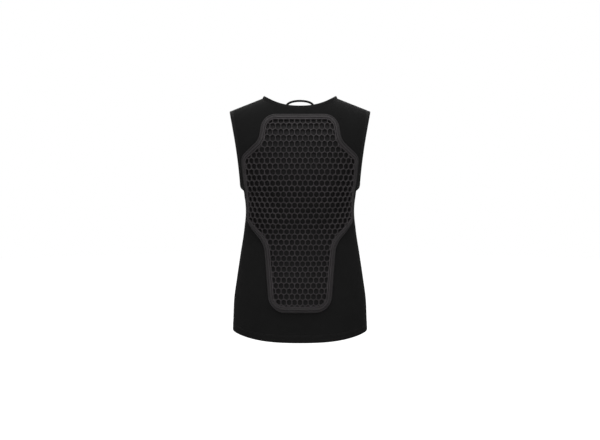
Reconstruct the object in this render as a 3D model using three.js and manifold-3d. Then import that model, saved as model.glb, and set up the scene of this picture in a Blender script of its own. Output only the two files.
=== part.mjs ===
// A sleeveless sports vest with a moulded honeycomb back protector, shown as it is worn.
//
// Frame: +Z up, the wearer faces +Y, so the protector is on the -Y side and the wearer's right is +X.
// The origin lies midway between the two shoulder seams, level with their neck ends.
// All lengths are millimetres.
import * as THREE from "three";
import { mergeVertices } from "three/addons/utils/BufferGeometryUtils.js";
import Module from "manifold-3d";

// Driving sizes: the torso shell
const TORSO_LENGTH = 592; // neck end of the shoulder seam down to the hem at the side seam
const HEM_HALF_WIDTH = 173;
const BACK_DEPTH = 110; // shoulder seam plane to the rearmost point of the back
const FRONT_DEPTH = 118; // shoulder seam plane to the foremost point of the chest
const HEM_DROP = 13; // how much lower the hem hangs at the centre back
const CLOTH = 2; // the fabric wall

// Driving sizes: shoulders, neck and armholes
const NECK_HALF_WIDTH = 96;
const NECK_DROP_BACK = 28.5;
const NECK_DROP_FRONT = 74;
const NECK_FLATNESS_BACK = 2.3; // power of the neckline's curve: the higher, the flatter in the middle
const NECK_FLATNESS_FRONT = 2;
const SHOULDER_HALF_WIDTH = 170; // centre line to the outer end of the shoulder seam
const SHOULDER_SLOPE = 0.392; // fall of the shoulder seam for each millimetre outwards
const SHOULDER_ROUNDING = 112; // height over which the shoulder rounds over into the back and the chest
const ARMHOLE_DEPTH = 234; // neck end of the shoulder seam down to the underarm point
const ARMHOLE_HOLLOW = 1.9; // above 1, the armhole's edge curves in towards the shoulder blade

// Driving sizes: edge bands, zip and hang loop
const SEAM_GAP = 0.3; // clearance between pieces that are sewn or set together
const NECK_BAND_HEIGHT = 8.5;
const NECK_BAND_LEAN = 0.45; // how far the neck band leans inwards for each millimetre of height
const UPRIGHT_PULL = 4; // how much the neck band follows that lean rather than the slope of the cloth
const ARM_BAND_WIDTH = 9.2;
const UNDERARM_FLARE = 0.8; // how far the arm band leans outwards at the underarm for each millimetre of height
const FLARE_FADE = 8; // power with which that lean dies out towards the shoulder
const BAND_THICKNESS = 3.2;
const ZIP_HALF_WIDTH = 12;
const ZIP_TAPE = 1.6;
const ZIP_CHAIN_HALF_WIDTH = 3;
const ZIP_CHAIN_HEIGHT = 2;
const SLIDER = { width: 9, height: 13, depth: 3.4 };
const PULL = { width: 5.5, length: 24, thickness: 1.6 };
const LOOP_HALF_WIDTH = 32.5; // hang loop, to the middle of its cord
const LOOP_RISE = 11.8; // how far the loop stands above the neck band
const LOOP_TUCK = 8; // the ends' length sewn down inside the band
const LOOP_CORD_RADIUS = 2.6;

// Driving sizes: the protector, measured on its flat pattern around the back
const PAD_TOP = 43.7; // below the neck end of the shoulder seam
const PAD_LENGTH = 487;
const PAD_HALF_TOP = 101.5; // half width between the shoulder blades
const PAD_HALF_WIDEST = 149;
const PAD_HALF_BOTTOM = 77;
const PAD_CLEARANCE = 1.7; // under the protector, so that its facets clear those of the back
const RIM_WIDTH = 13;
const CORE_GAP = 0.8; // between the rim and the honeycomb
const RIM_HEIGHT = 9.2;
const CORE_THICKNESS = 9.6;
const CORE_BORDER = 2.4;
const CELL_PITCH = 31.6; // each gap here stands for a cluster of about five of the real comb's cells
const CELL_ROW_PITCH = 32;
const CELL_RISE = 9.1; // height of the slanting sides
const CELL_WALL = 5;
const SMALLEST_CELL = 0.25; // share of a whole cell: what the border cuts smaller stays filled

// Facets: steps along each edge of a panel, which its bands share
const NECK_STEPS = 7;
const SHOULDER_STEPS = 5;
const ARMHOLE_STEPS = 12;
const SIDE_STEPS = 10;
const ZIP_STEPS = 16;
const RIM_STEP = 24; // longest step along the rim
const CORE_STEP = 32; // longest edge of the honeycomb, so that no facet cuts across the bend of the back

const TURN = Math.PI * 2;
const EPSILON = 1e-3;

// Horizontal sections of the torso, from the shoulders down. Every length is a share of the size that it follows:
// level of TORSO_LENGTH below the neck, width of HEM_HALF_WIDTH, back of BACK_DEPTH and front of FRONT_DEPTH.
// Above the underarm the width is that of the whole shoulder, which the armhole then cuts off. square is the power
// of the superellipse that the section follows.
const SECTIONS = [
  { level: 0.0, width: 1.19, back: 0.8, front: 0.56, square: 2.4 },
  { level: 0.1, width: 1.16, back: 0.9, front: 0.69, square: 2.4 },
  { level: 0.2, width: 1.09, back: 0.985, front: 0.85, square: 2.4 },
  { level: 0.3, width: 0.99, back: 1.0, front: 0.97, square: 2.45 },
  { level: 0.363, width: 0.89, back: 0.975, front: 1.0, square: 2.5 },
  { level: 0.397, width: 0.829, back: 0.943, front: 0.986, square: 2.5 },
  { level: 0.482, width: 0.8, back: 0.86, front: 0.9, square: 2.5 },
  { level: 0.565, width: 0.826, back: 0.8, front: 0.86, square: 2.45 },
  { level: 0.68, width: 0.888, back: 0.82, front: 0.88, square: 2.35 },
  { level: 0.776, width: 0.938, back: 0.89, front: 0.92, square: 2.25 },
  { level: 0.877, width: 0.983, back: 0.96, front: 0.955, square: 2.05 },
  { level: 1.0, width: 1.0, back: 1.0, front: 0.97, square: 2.0 },
];

// The protector's outline on its flat pattern, right half, from the top down. across is a share of the named half
// width, down is a share of PAD_LENGTH, and radius is the corner's own rounding.
const PAD_CORNERS = [
  { across: 0.905 * PAD_HALF_TOP, down: 0.0, radius: 38 },
  { across: 1.0 * PAD_HALF_TOP, down: 0.128, radius: 34 },
  { across: 1.0 * PAD_HALF_WIDEST, down: 0.211, radius: 26 },
  { across: 0.975 * PAD_HALF_WIDEST, down: 0.54, radius: 24 },
  { across: 1.17 * PAD_HALF_BOTTOM, down: 0.652, radius: 60 },
  { across: 0.99 * PAD_HALF_BOTTOM, down: 1.0, radius: 42 },
];

// Slopes of a curve through the table's points that never overshoots them
function tableSlopes(levels, values) {
  const steps = levels.slice(1).map((x, i) => x - levels[i]);
  const rises = steps.map((step, i) => (values[i + 1] - values[i]) / step);
  return values.map((_, i) => {
    if (i === 0) return rises[0];
    if (i === values.length - 1) return rises[i - 1];
    const [before, after] = [rises[i - 1], rises[i]];
    return before * after <= 0 ? 0 : (2 * before * after) / (before + after);
  });
}

// A smooth function of the level through one named column of the section table
function columnCurve(column) {
  const levels = SECTIONS.map((row) => row.level);
  const values = SECTIONS.map((row) => row[column]);
  const slopes = tableSlopes(levels, values);
  return (level) => {
    const x = THREE.MathUtils.clamp(level, levels[0], levels.at(-1));
    const i = Math.min(levels.findLastIndex((l) => l <= x), levels.length - 2);
    const step = levels[i + 1] - levels[i];
    const t = (x - levels[i]) / step;
    return (
      values[i] * (1 + 2 * t) * (1 - t) ** 2 +
      values[i + 1] * t * t * (3 - 2 * t) +
      step * (slopes[i] * t * (1 - t) ** 2 - slopes[i + 1] * t * t * (1 - t))
    );
  };
}

const widthCurve = columnCurve("width");
const squareCurve = columnCurve("square");
const halfWidthAt = (z) => HEM_HALF_WIDTH * widthCurve(-z / TORSO_LENGTH);

// The two faces of the torso: side is the sign of Y, and start is where the panel begins beside the centre line
function makeFace(side, column, depth, neck, hemDrop, start) {
  const curve = columnCurve(column);
  const depthAt = (z) => depth * curve(-z / TORSO_LENGTH);
  return { side, depthAt, neck, hemDrop, start };
}
const NECK_BACK = { drop: NECK_DROP_BACK, flatness: NECK_FLATNESS_BACK };
const NECK_FRONT = { drop: NECK_DROP_FRONT, flatness: NECK_FLATNESS_FRONT };
const BACK = makeFace(-1, "back", BACK_DEPTH, NECK_BACK, HEM_DROP, 0);
const FRONT = makeFace(1, "front", FRONT_DEPTH, NECK_FRONT, 0, ZIP_HALF_WIDTH + SEAM_GAP);

// Height of the shoulder line over x, carried on across the neck as a parabola with no crease at the centre
function ridgeAt(x) {
  if (x >= NECK_HALF_WIDTH) return -SHOULDER_SLOPE * (x - NECK_HALF_WIDTH);
  return (SHOULDER_SLOPE * NECK_HALF_WIDTH * (1 - (x / NECK_HALF_WIDTH) ** 2)) / 2;
}

const neckLineAt = (face, x) => -face.neck.drop * (1 - (x / NECK_HALF_WIDTH) ** face.neck.flatness);
const TIP_Z = ridgeAt(SHOULDER_HALF_WIDTH);
const UNDERARM_Z = -ARMHOLE_DEPTH;

// Half width of the panel's edge: the side seam below the underarm, and the slanting armhole above it
function edgeAt(z) {
  if (z <= UNDERARM_Z) return halfWidthAt(z);
  const rise = Math.min(1, (z - UNDERARM_Z) / (TIP_Z - UNDERARM_Z));
  return THREE.MathUtils.lerp(halfWidthAt(UNDERARM_Z), SHOULDER_HALF_WIDTH, rise ** ARMHOLE_HOLLOW);
}

// Depth of the shell: a superellipse across, rounded over towards the shoulder line as a quarter ellipse
function depthOver(face, x, z) {
  const share = Math.min(1, Math.abs(x) / halfWidthAt(z));
  const power = squareCurve(-z / TORSO_LENGTH);
  const across = (1 - share ** power) ** (1 / power);
  const below = THREE.MathUtils.clamp((ridgeAt(Math.abs(x)) - z) / SHOULDER_ROUNDING, 0, 1);
  return face.depthAt(z) * across * Math.sqrt(1 - (1 - below) ** 2);
}

const shellPoint = (face, x, z) => new THREE.Vector3(x, face.side * depthOver(face, x, z), z);

// A horizontal section as a fine polyline from the centre line to its widest point, with the girth along it
const girthCache = new Map();
function girthCurve(face, z) {
  const key = `${face.side} ${z.toFixed(4)}`;
  if (girthCache.has(key)) return girthCache.get(key);
  const steps = 72;
  const widest = z > TIP_Z ? NECK_HALF_WIDTH - z / SHOULDER_SLOPE : halfWidthAt(z);
  const points = [];
  let girth = 0;
  for (let i = 0; i <= steps; i++) {
    const point = shellPoint(face, widest * Math.sin((i / steps) * (Math.PI / 2)), z);
    if (i) girth += point.distanceTo(points[i - 1].point);
    points.push({ point, girth });
  }
  girthCache.set(key, points);
  return points;
}

const fullGirth = (face, z) => girthCurve(face, z).at(-1).girth;

// The point of the shell at a girth from the centre line, on the right or, for a negative girth, on the left
function girthPoint(face, girth, z) {
  const points = girthCurve(face, z);
  const wanted = Math.min(Math.abs(girth), points.at(-1).girth);
  const i = Math.max(1, points.findIndex((p) => p.girth >= wanted - 1e-9));
  const [a, b] = [points[i - 1], points[i]];
  const found = a.point.clone().lerp(b.point, (wanted - a.girth) / (b.girth - a.girth));
  if (girth < 0) found.x = -found.x;
  return found;
}

// Shell point and outward normal at a place on the protector's flat pattern
function backPlace(girth, z) {
  const step = 0.5;
  const across = girthPoint(BACK, girth + step, z).sub(girthPoint(BACK, girth - step, z));
  const up = girthPoint(BACK, girth, z + step).sub(girthPoint(BACK, girth, z - step));
  return { point: girthPoint(BACK, girth, z), normal: across.cross(up).normalize() };
}

// Panels

// A point of a panel: column runs 0 to 1 from the centre to the side, row runs 0 to 1 from the hem to the underarm
// and 1 to 2 from there to the neckline and the shoulder seam
function panelPoint(face, column, row) {
  const xTop = face.start + column * (SHOULDER_HALF_WIDTH - face.start);
  if (row <= 1) {
    const hem = -TORSO_LENGTH - face.hemDrop * (1 - Math.sin((column * Math.PI) / 2) ** 4);
    const z = THREE.MathUtils.lerp(hem, UNDERARM_Z, row);
    return girthPoint(face, face.start + column * (fullGirth(face, z) - face.start), z);
  }
  const climb = (1 - Math.cos((row - 1) * Math.PI)) / 2;
  const top = xTop < NECK_HALF_WIDTH ? neckLineAt(face, xTop) : ridgeAt(xTop);
  const z = THREE.MathUtils.lerp(UNDERARM_Z, top, climb);
  const low = girthPoint(face, face.start + column * (fullGirth(face, UNDERARM_Z) - face.start), UNDERARM_Z).x;
  const lowShare = (low - face.start) / (halfWidthAt(UNDERARM_Z) - face.start);
  const share = THREE.MathUtils.lerp(lowShare, column, THREE.MathUtils.smoothstep(climb, 0, 1));
  return shellPoint(face, face.start + share * (edgeAt(z) - face.start), z);
}

// Outward normal of a panel, with no Y part along the seams, where the two faces meet
function panelNormal(face, column, row) {
  const [c0, c1] = [Math.max(0, column - EPSILON), Math.min(1, column + EPSILON)];
  const [r0, r1] = [Math.max(0, row - EPSILON), Math.min(2, row + EPSILON)];
  const across = panelPoint(face, c1, row).sub(panelPoint(face, c0, row));
  const up = panelPoint(face, column, r1).sub(panelPoint(face, column, r0));
  const normal = across.cross(up).multiplyScalar(-face.side);
  const xTop = face.start + column * (SHOULDER_HALF_WIDTH - face.start);
  const onSideSeam = column === 1 && row <= 1;
  const onShoulderSeam = row === 2 && xTop >= NECK_HALF_WIDTH - EPSILON;
  if (onSideSeam || onShoulderSeam) normal.y = 0;
  return normal.normalize();
}

// Closed solid between two grids of points, the outer one facing out
function gridSolid(outer, inner) {
  const [rows, columns] = [outer.length, outer[0].length];
  const positions = [...outer.flat(), ...inner.flat()].flatMap((p) => p.toArray());
  const at = (layer, i, j) => (layer * rows + i) * columns + j;
  const index = [];
  const quad = (a, b, c, d) => index.push(a, b, c, a, c, d);
  for (let i = 0; i + 1 < rows; i++)
    for (let j = 0; j + 1 < columns; j++) {
      quad(at(0, i, j), at(0, i, j + 1), at(0, i + 1, j + 1), at(0, i + 1, j));
      quad(at(1, i, j), at(1, i + 1, j), at(1, i + 1, j + 1), at(1, i, j + 1));
    }
  const last = { i: rows - 1, j: columns - 1 };
  for (let j = 0; j < last.j; j++) {
    quad(at(1, 0, j), at(1, 0, j + 1), at(0, 0, j + 1), at(0, 0, j));
    quad(at(0, last.i, j), at(0, last.i, j + 1), at(1, last.i, j + 1), at(1, last.i, j));
  }
  for (let i = 0; i < last.i; i++) {
    quad(at(0, i, 0), at(0, i + 1, 0), at(1, i + 1, 0), at(1, i, 0));
    quad(at(1, i, last.j), at(1, i + 1, last.j), at(0, i + 1, last.j), at(0, i, last.j));
  }
  return geometryOf(positions, index);
}

function geometryOf(positions, index) {
  const geometry = new THREE.BufferGeometry();
  geometry.setAttribute("position", new THREE.Float32BufferAttribute(positions, 3));
  geometry.setIndex(index);
  geometry.computeVertexNormals();
  return geometry;
}

// Columns of a panel that end on the neckline, closer together towards the shoulder seam
function neckColumns(face) {
  const last = (NECK_HALF_WIDTH - face.start) / (SHOULDER_HALF_WIDTH - face.start);
  return Array.from({ length: NECK_STEPS + 1 }, (_, i) => last * Math.sin(((i / NECK_STEPS) * Math.PI) / 2));
}

function panelColumns(face) {
  const neck = neckColumns(face);
  const shoulder = Array.from({ length: SHOULDER_STEPS }, (_, i) =>
    THREE.MathUtils.lerp(neck.at(-1), 1, (i + 1) / SHOULDER_STEPS),
  );
  return [...neck, ...shoulder];
}

const armholeRows = () => Array.from({ length: ARMHOLE_STEPS + 1 }, (_, i) => 1 + i / ARMHOLE_STEPS);
const panelRows = () => [...Array.from({ length: SIDE_STEPS }, (_, i) => i / SIDE_STEPS), ...armholeRows()];

// Solid of a panel over the given columns, where a negative column or hand is mirrored to the left
function panelSolid(face, columns, rows, hand = 1) {
  const place = (column, row, sunk) => {
    const inward = panelNormal(face, Math.abs(column), row).multiplyScalar(-sunk);
    const point = panelPoint(face, Math.abs(column), row).add(inward);
    point.y += (face.side * SEAM_GAP) / 2;
    if (column < 0 || hand < 0) point.x = -point.x;
    return point;
  };
  const layer = (sunk) => rows.map((row) => columns.map((column) => place(column, row, sunk)));
  return gridSolid(layer(0), layer(CLOTH));
}

const mirrored = (columns) => [...columns.slice(1).map((c) => -c).reverse(), ...columns];

function backPanel() {
  return panelSolid(BACK, mirrored(panelColumns(BACK)), panelRows());
}

function frontPanel(hand) {
  const columns = panelColumns(FRONT);
  return panelSolid(FRONT, hand > 0 ? columns.reverse() : columns, panelRows(), hand);
}

// Bands, swept as a closed outline along a row of frames

// Closed solid of one section carried through frames of { origin, across, up }
function sweptSolid(frames, section, closed) {
  const place = (frame, [a, b]) =>
    frame.origin.clone().addScaledVector(frame.across, a).addScaledVector(frame.up, b).toArray();
  const positions = frames.flatMap((frame) => section.flatMap((corner) => place(frame, corner)));
  const n = section.length;
  const index = [];
  const spans = closed ? frames.length : frames.length - 1;
  for (let i = 0; i < spans; i++)
    for (let k = 0; k < n; k++) {
      const [here, next] = [i * n, ((i + 1) % frames.length) * n];
      const [a, b] = [k, (k + 1) % n];
      index.push(here + a, here + b, next + b, here + a, next + b, next + a);
    }
  if (!closed) {
    const outline = section.map(([a, b]) => new THREE.Vector2(a, b));
    const turned = THREE.ShapeUtils.isClockWise(outline);
    const end = (frames.length - 1) * n;
    for (const [a, p, q] of THREE.ShapeUtils.triangulateShape(outline, [])) {
      const [b, c] = turned ? [q, p] : [p, q];
      index.push(a, c, b, end + a, end + b, end + c);
    }
  }
  return geometryOf(positions, index);
}

// A flat band with a rounded far edge: base on the seam, width away from it, thickness to both sides
function bandSection(width) {
  const [half, shoulder] = [BAND_THICKNESS / 2, width - BAND_THICKNESS / 2];
  return [
    [0, half],
    [shoulder, half],
    [width, half / 2],
    [width, -half / 2],
    [shoulder, -half],
    [0, -half],
  ];
}

// Middle of the cloth at a panel's edge, with the panel's outward normal there
function edgePlace(face, column, row) {
  const normal = panelNormal(face, column, row);
  return { middle: panelPoint(face, column, row).addScaledVector(normal, -CLOTH / 2), normal };
}

// Frames for a band along an edge: its width runs away from the panel, turned from there towards the lean
function bandFrames(places, closed, leanAt = () => new THREE.Vector3()) {
  const last = places.length - 1;
  const near = (i) => places[closed ? (i + places.length) % places.length : THREE.MathUtils.clamp(i, 0, last)];
  return places.map(({ middle, normal }, i) => {
    const tangent = near(i + 1).middle.clone().sub(near(i - 1).middle).normalize();
    const outwards = tangent.clone().cross(normal).normalize();
    const across = outwards.clone().add(leanAt(middle));
    across.addScaledVector(tangent, -across.dot(tangent)).normalize();
    const clear = SEAM_GAP + (BAND_THICKNESS / 2) * Math.sqrt(Math.max(0, 1 - across.dot(outwards) ** 2));
    return { origin: middle.clone().addScaledVector(outwards, clear), across, up: across.clone().cross(tangent) };
  });
}

const mirroredFrames = (frames) =>
  frames.map((frame) => Object.fromEntries(Object.entries(frame).map(([k, v]) => [k, v.clone().setX(-v.x)]))).reverse();

// From the underarm up the back to the shoulder tip and down the front
function armholeBand(hand) {
  const back = armholeRows().map((row) => edgePlace(BACK, 1, row));
  const front = armholeRows().map((row) => edgePlace(FRONT, 1, row));
  const flare = (middle) => {
    const rise = THREE.MathUtils.clamp((middle.z - UNDERARM_Z) / (TIP_Z - UNDERARM_Z), 0, 1);
    return new THREE.Vector3(UNDERARM_FLARE * (1 - rise) ** FLARE_FADE, 0, 0);
  };
  const frames = bandFrames([...back, ...front.slice(1, -1).reverse()], true, flare);
  return sweptSolid(hand < 0 ? mirroredFrames(frames) : frames, bandSection(ARM_BAND_WIDTH), true);
}

// From the left of the zip round the back of the neck to its right, leaning towards the middle of the neck
function neckFrames() {
  const back = neckColumns(BACK).map((column) => edgePlace(BACK, column, 2));
  const front = neckColumns(FRONT).map((column) => edgePlace(FRONT, column, 2));
  const right = [...back, ...front.slice(0, -1).reverse()];
  const left = right.slice(1).map(({ middle, normal }) => ({
    middle: middle.clone().setX(-middle.x),
    normal: normal.clone().setX(-normal.x),
  }));
  const upright = (middle) => {
    const inwards = new THREE.Vector3(-middle.x, -middle.y, 0).normalize();
    return inwards.multiplyScalar(NECK_BAND_LEAN).add(new THREE.Vector3(0, 0, 1)).multiplyScalar(UPRIGHT_PULL);
  };
  return bandFrames([...left.reverse(), ...right].reverse(), false, upright);
}

const neckBand = () => sweptSolid(neckFrames(), bandSection(NECK_BAND_HEIGHT), false);

// Manifold helpers: union, cut and intersection only
const wasm = await Module();
wasm.setup();

function solidOf(geometry) {
  const bare = geometry.clone();
  bare.deleteAttribute("normal");
  bare.deleteAttribute("uv");
  const merged = mergeVertices(bare, 1e-4);
  const mesh = { numProp: 3, vertProperties: merged.attributes.position.array };
  return new wasm.Manifold(new wasm.Mesh({ ...mesh, triVerts: new Uint32Array(merged.index.array) }));
}

function geometryFrom(solid) {
  const mesh = solid.getMesh();
  const positions = [];
  for (let i = 0; i < mesh.numVert; i++)
    positions.push(...mesh.vertProperties.subarray(i * mesh.numProp, i * mesh.numProp + 3));
  return geometryOf(positions, Array.from(mesh.triVerts));
}

// Zip: tape and chain swept down the centre front, with the slider and its pull joined on
function frontZip() {
  const [tape, chain] = [ZIP_TAPE, ZIP_TAPE + ZIP_CHAIN_HEIGHT];
  const section = [
    [-ZIP_HALF_WIDTH, 0],
    [ZIP_HALF_WIDTH, 0],
    [ZIP_HALF_WIDTH, tape],
    [ZIP_CHAIN_HALF_WIDTH, tape],
    [ZIP_CHAIN_HALF_WIDTH * 0.6, chain],
    [-ZIP_CHAIN_HALF_WIDTH * 0.6, chain],
    [-ZIP_CHAIN_HALF_WIDTH, tape],
    [-ZIP_HALF_WIDTH, tape],
  ];
  const top = -NECK_DROP_FRONT + NECK_BAND_HEIGHT * 0.8;
  const across = new THREE.Vector3(1, 0, 0);
  const frameAt = (z) => {
    const shellY = (height) => depthOver(FRONT, FRONT.start, Math.min(height, -NECK_DROP_FRONT));
    const along = new THREE.Vector3(0, shellY(z + 1) - shellY(z - 1), 2).normalize();
    const up = new THREE.Vector3(0, along.z, -along.y);
    return { origin: new THREE.Vector3(0, shellY(z) - CLOTH + SEAM_GAP, z), across, up };
  };
  const heights = Array.from({ length: ZIP_STEPS + 1 }, (_, i) =>
    THREE.MathUtils.lerp(-TORSO_LENGTH, top, i / ZIP_STEPS),
  );
  const strip = sweptSolid(heights.map(frameAt), section, false);
  const seat = frameAt(top - SLIDER.height);
  const slider = new THREE.BoxGeometry(SLIDER.width, SLIDER.depth, SLIDER.height);
  slider.translate(0, seat.origin.y + chain + SLIDER.depth / 2 - 1, seat.origin.z);
  const pull = new THREE.BoxGeometry(PULL.width, PULL.thickness, PULL.length);
  pull.translate(0, seat.origin.y + chain + SLIDER.depth - 1, seat.origin.z - PULL.length / 2);
  return geometryFrom(solidOf(strip).add(solidOf(slider)).add(solidOf(pull)));
}

// Middle of the hang loop's cord at a height up the inner face of the neck band, on the right
function loopSeat(height) {
  const behind = neckFrames().filter(({ origin }) => origin.y < 0);
  const outer = behind.findLast(({ origin }) => origin.x > LOOP_HALF_WIDTH);
  const inner = behind[behind.indexOf(outer) + 1];
  const share = (LOOP_HALF_WIDTH - outer.origin.x) / (inner.origin.x - outer.origin.x);
  const [origin, across, up] = ["origin", "across", "up"].map((key) => outer[key].clone().lerp(inner[key], share));
  const clear = BAND_THICKNESS / 2 + 2 * SEAM_GAP + LOOP_CORD_RADIUS;
  return origin.addScaledVector(across, height).addScaledVector(up, -clear);
}

// Hang loop: a thin cord arching over the centre back, its ends tucked down inside the neck band
function hangLoop() {
  const leg = [NECK_BAND_HEIGHT - LOOP_TUCK, NECK_BAND_HEIGHT - LOOP_TUCK / 2].map(loopSeat);
  const top = loopSeat(NECK_BAND_HEIGHT);
  const arcSteps = 10;
  const arc = Array.from({ length: arcSteps + 1 }, (_, i) => {
    const angle = (Math.PI * i) / arcSteps;
    return new THREE.Vector3(LOOP_HALF_WIDTH * Math.cos(angle), top.y, top.z + LOOP_RISE * Math.sin(angle));
  });
  const onRight = leg.map(({ y, z }) => new THREE.Vector3(LOOP_HALF_WIDTH, y, z));
  const onLeft = onRight.map(({ y, z }) => new THREE.Vector3(-LOOP_HALF_WIDTH, y, z)).reverse();
  const path = new THREE.CatmullRomCurve3([...onRight, ...arc, ...onLeft], false, "centripetal");
  const round = new THREE.Shape().absarc(0, 0, LOOP_CORD_RADIUS, 0, TURN);
  return new THREE.ExtrudeGeometry(round, { extrudePath: path, steps: 20, curveSegments: 4 });
}

// The protector

// Corners of the whole outline in order, anticlockwise when seen from behind
function padCorners() {
  const right = PAD_CORNERS.map(({ across, down, radius }) => ({
    at: new THREE.Vector2(across, -PAD_TOP - down * PAD_LENGTH),
    radius,
  }));
  const left = right.map(({ at, radius }) => ({ at: new THREE.Vector2(-at.x, at.y), radius }));
  return [...left, ...right.reverse()];
}

// The outline, inset by a distance, as points with straight runs split for bending and corners as arcs
function padOutline(inset) {
  const corners = padCorners();
  const points = [];
  const arcStep = Math.PI / 10;
  const unit = (from, to) => to.clone().sub(from).normalize();
  const arcs = corners.map(({ at, radius }, i) => {
    const before = unit(at, corners.at(i - 1).at);
    const after = unit(at, corners[(i + 1) % corners.length].at);
    const half = before.angleTo(after) / 2;
    const centre = before.clone().add(after).normalize().multiplyScalar(radius / Math.sin(half)).add(at);
    const foot = (side) => side.clone().multiplyScalar(radius / Math.tan(half)).add(at);
    const convex = before.cross(after) < 0;
    return { centre, from: foot(before), to: foot(after), convex };
  });
  arcs.forEach(({ centre, from, to, convex }, i) => {
    const start = from.clone().sub(centre);
    const turn = Math.atan2(start.cross(to.clone().sub(centre)), start.dot(to.clone().sub(centre)));
    const count = Math.max(2, Math.ceil(Math.abs(turn) / arcStep));
    const inward = convex ? -1 : 1;
    for (let k = 0; k <= count; k++) {
      const spoke = start.clone().rotateAround(new THREE.Vector2(), (turn * k) / count);
      const normal = spoke.clone().normalize().multiplyScalar(inward);
      points.push(centre.clone().add(spoke).addScaledVector(normal, inset));
    }
    const next = arcs[(i + 1) % arcs.length].from;
    const run = next.clone().sub(to);
    const normal = new THREE.Vector2(-run.y, run.x).normalize();
    const splits = Math.floor(run.length() / RIM_STEP);
    for (let k = 1; k <= splits; k++) {
      const along = to.clone().addScaledVector(run, k / (splits + 1));
      points.push(along.addScaledVector(normal, inset));
    }
  });
  return points;
}

// Raised border: a flange that climbs from a thin outer edge over one groove to its inner crest
function protectorRim() {
  const profile = [
    [0, 0],
    [0, 0.24],
    [0.22, 0.56],
    [0.46, 0.58],
    [0.72, 1.0],
    [1, 0.94],
    [1, 0],
  ];
  const rings = profile.map(([inset, height]) => {
    const lift = PAD_CLEARANCE + height * RIM_HEIGHT;
    return padOutline(inset * RIM_WIDTH).map(({ x, y }) => {
      const { point, normal } = backPlace(x, y);
      return point.addScaledVector(normal, lift);
    });
  });
  const count = rings[0].length;
  const positions = rings.flat().flatMap((p) => p.toArray());
  const index = [];
  rings.forEach((_, k) => {
    const [here, next] = [k * count, ((k + 1) % rings.length) * count];
    for (let i = 0; i < count; i++) {
      const j = (i + 1) % count;
      index.push(here + i, here + j, next + j, here + i, next + j, next + i);
    }
  });
  return geometryOf(positions, index);
}

const flatPrism = (outline, thickness) =>
  new THREE.ExtrudeGeometry(new THREE.Shape(outline), { depth: thickness, bevelEnabled: false });

// Upright six-sided cells of the comb, over the whole pad and beyond it, as one body each
function combCells(thickness) {
  const rows = Math.ceil(PAD_LENGTH / CELL_ROW_PITCH / 2) + 1;
  const columns = Math.ceil(PAD_HALF_WIDEST / CELL_PITCH) + 1;
  const halfWidth = (CELL_PITCH - CELL_WALL) / 2;
  const peak = (CELL_ROW_PITCH + CELL_RISE - CELL_WALL * Math.hypot(1, (2 * CELL_RISE) / CELL_PITCH)) / 2;
  const flank = peak - (2 * CELL_RISE * halfWidth) / CELL_PITCH;
  const ring = [[0, peak], [-halfWidth, flank], [-halfWidth, -flank], [0, -peak], [halfWidth, -flank], [halfWidth, flank]];
  const cell = flatPrism(ring.map(([x, y]) => new THREE.Vector2(x, y)), thickness);
  const cells = [];
  for (let row = -rows; row <= rows; row++)
    for (let column = -columns; column <= columns; column++) {
      const x = (column + Math.abs(row % 2) / 2) * CELL_PITCH;
      cells.push(solidOf(cell.clone().translate(x, row * CELL_ROW_PITCH - PAD_TOP - PAD_LENGTH / 2, 0)));
    }
  return cells;
}

// Halves every edge longer than a limit, on both of its triangles alike, until none is left
function splitLongEdges(geometry, longest) {
  const positions = Array.from(geometry.attributes.position.array);
  const corner = (i) => new THREE.Vector3().fromArray(positions, i * 3);
  const middles = new Map();
  const middleOf = (a, b) => {
    const name = a < b ? `${a} ${b}` : `${b} ${a}`;
    if (!middles.has(name)) {
      const [from, to] = [corner(a), corner(b)];
      const long = from.distanceTo(to) > longest;
      middles.set(name, long ? positions.push(...from.lerp(to, 0.5).toArray()) / 3 - 1 : null);
    }
    return middles.get(name);
  };
  const halve = ([a, b, c]) => {
    const turns = [[a, b, c], [b, c, a], [c, a, b]];
    const cut = turns.find(([p, q]) => middleOf(p, q) !== null);
    if (!cut) return [[a, b, c]];
    const [p, q, r] = cut;
    const m = middleOf(p, q);
    return [...halve([p, m, r]), ...halve([m, q, r])];
  };
  const index = Array.from(geometry.index.array);
  const triangles = [];
  for (let i = 0; i < index.length; i += 3) triangles.push(...halve(index.slice(i, i + 3)));
  return geometryOf(positions, triangles.flat());
}

// Honeycomb pad: cells cut through a flat slab within a thin border, then bent onto the back
function protectorCore() {
  const inset = RIM_WIDTH + CORE_GAP;
  const [reach, through] = [CORE_THICKNESS + 2, flatPrism(padOutline(inset + CORE_BORDER), CORE_THICKNESS + 2)];
  const cells = combCells(reach);
  const smallest = cells[0].volume() * SMALLEST_CELL;
  const within = solidOf(through);
  const cuts = cells.map((cell) => cell.intersect(within)).filter((cut) => cut.volume() > smallest);
  const holes = cuts.reduce((all, cut) => all.add(cut)).translate([0, 0, -1]);
  const slab = geometryFrom(solidOf(flatPrism(padOutline(inset), CORE_THICKNESS)).subtract(holes));
  const flat = splitLongEdges(slab, CORE_STEP);
  const place = flat.attributes.position;
  for (let i = 0; i < place.count; i++) {
    const { point, normal } = backPlace(place.getX(i), place.getY(i));
    point.addScaledVector(normal, PAD_CLEARANCE + place.getZ(i));
    place.setXYZ(i, point.x, point.y, point.z);
  }
  return flat;
}

// Finishes

const finish = (color, roughness) => new THREE.MeshStandardMaterial({ color, roughness, metalness: 0 });
const FABRIC = finish(0x1c1c1d, 0.85);
const BINDING = finish(0x19191a, 0.7);
const RIM = finish(0x3a393a, 0.6);
const FOAM = finish(0x302e2f, 0.65);
const CORD = finish(0x161617, 0.75);
const ZIP = finish(0x141415, 0.5);

const vest = new THREE.Group();
function add(name, geometry, material) {
  const mesh = new THREE.Mesh(geometry, material);
  mesh.name = name;
  vest.add(mesh);
}

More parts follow.
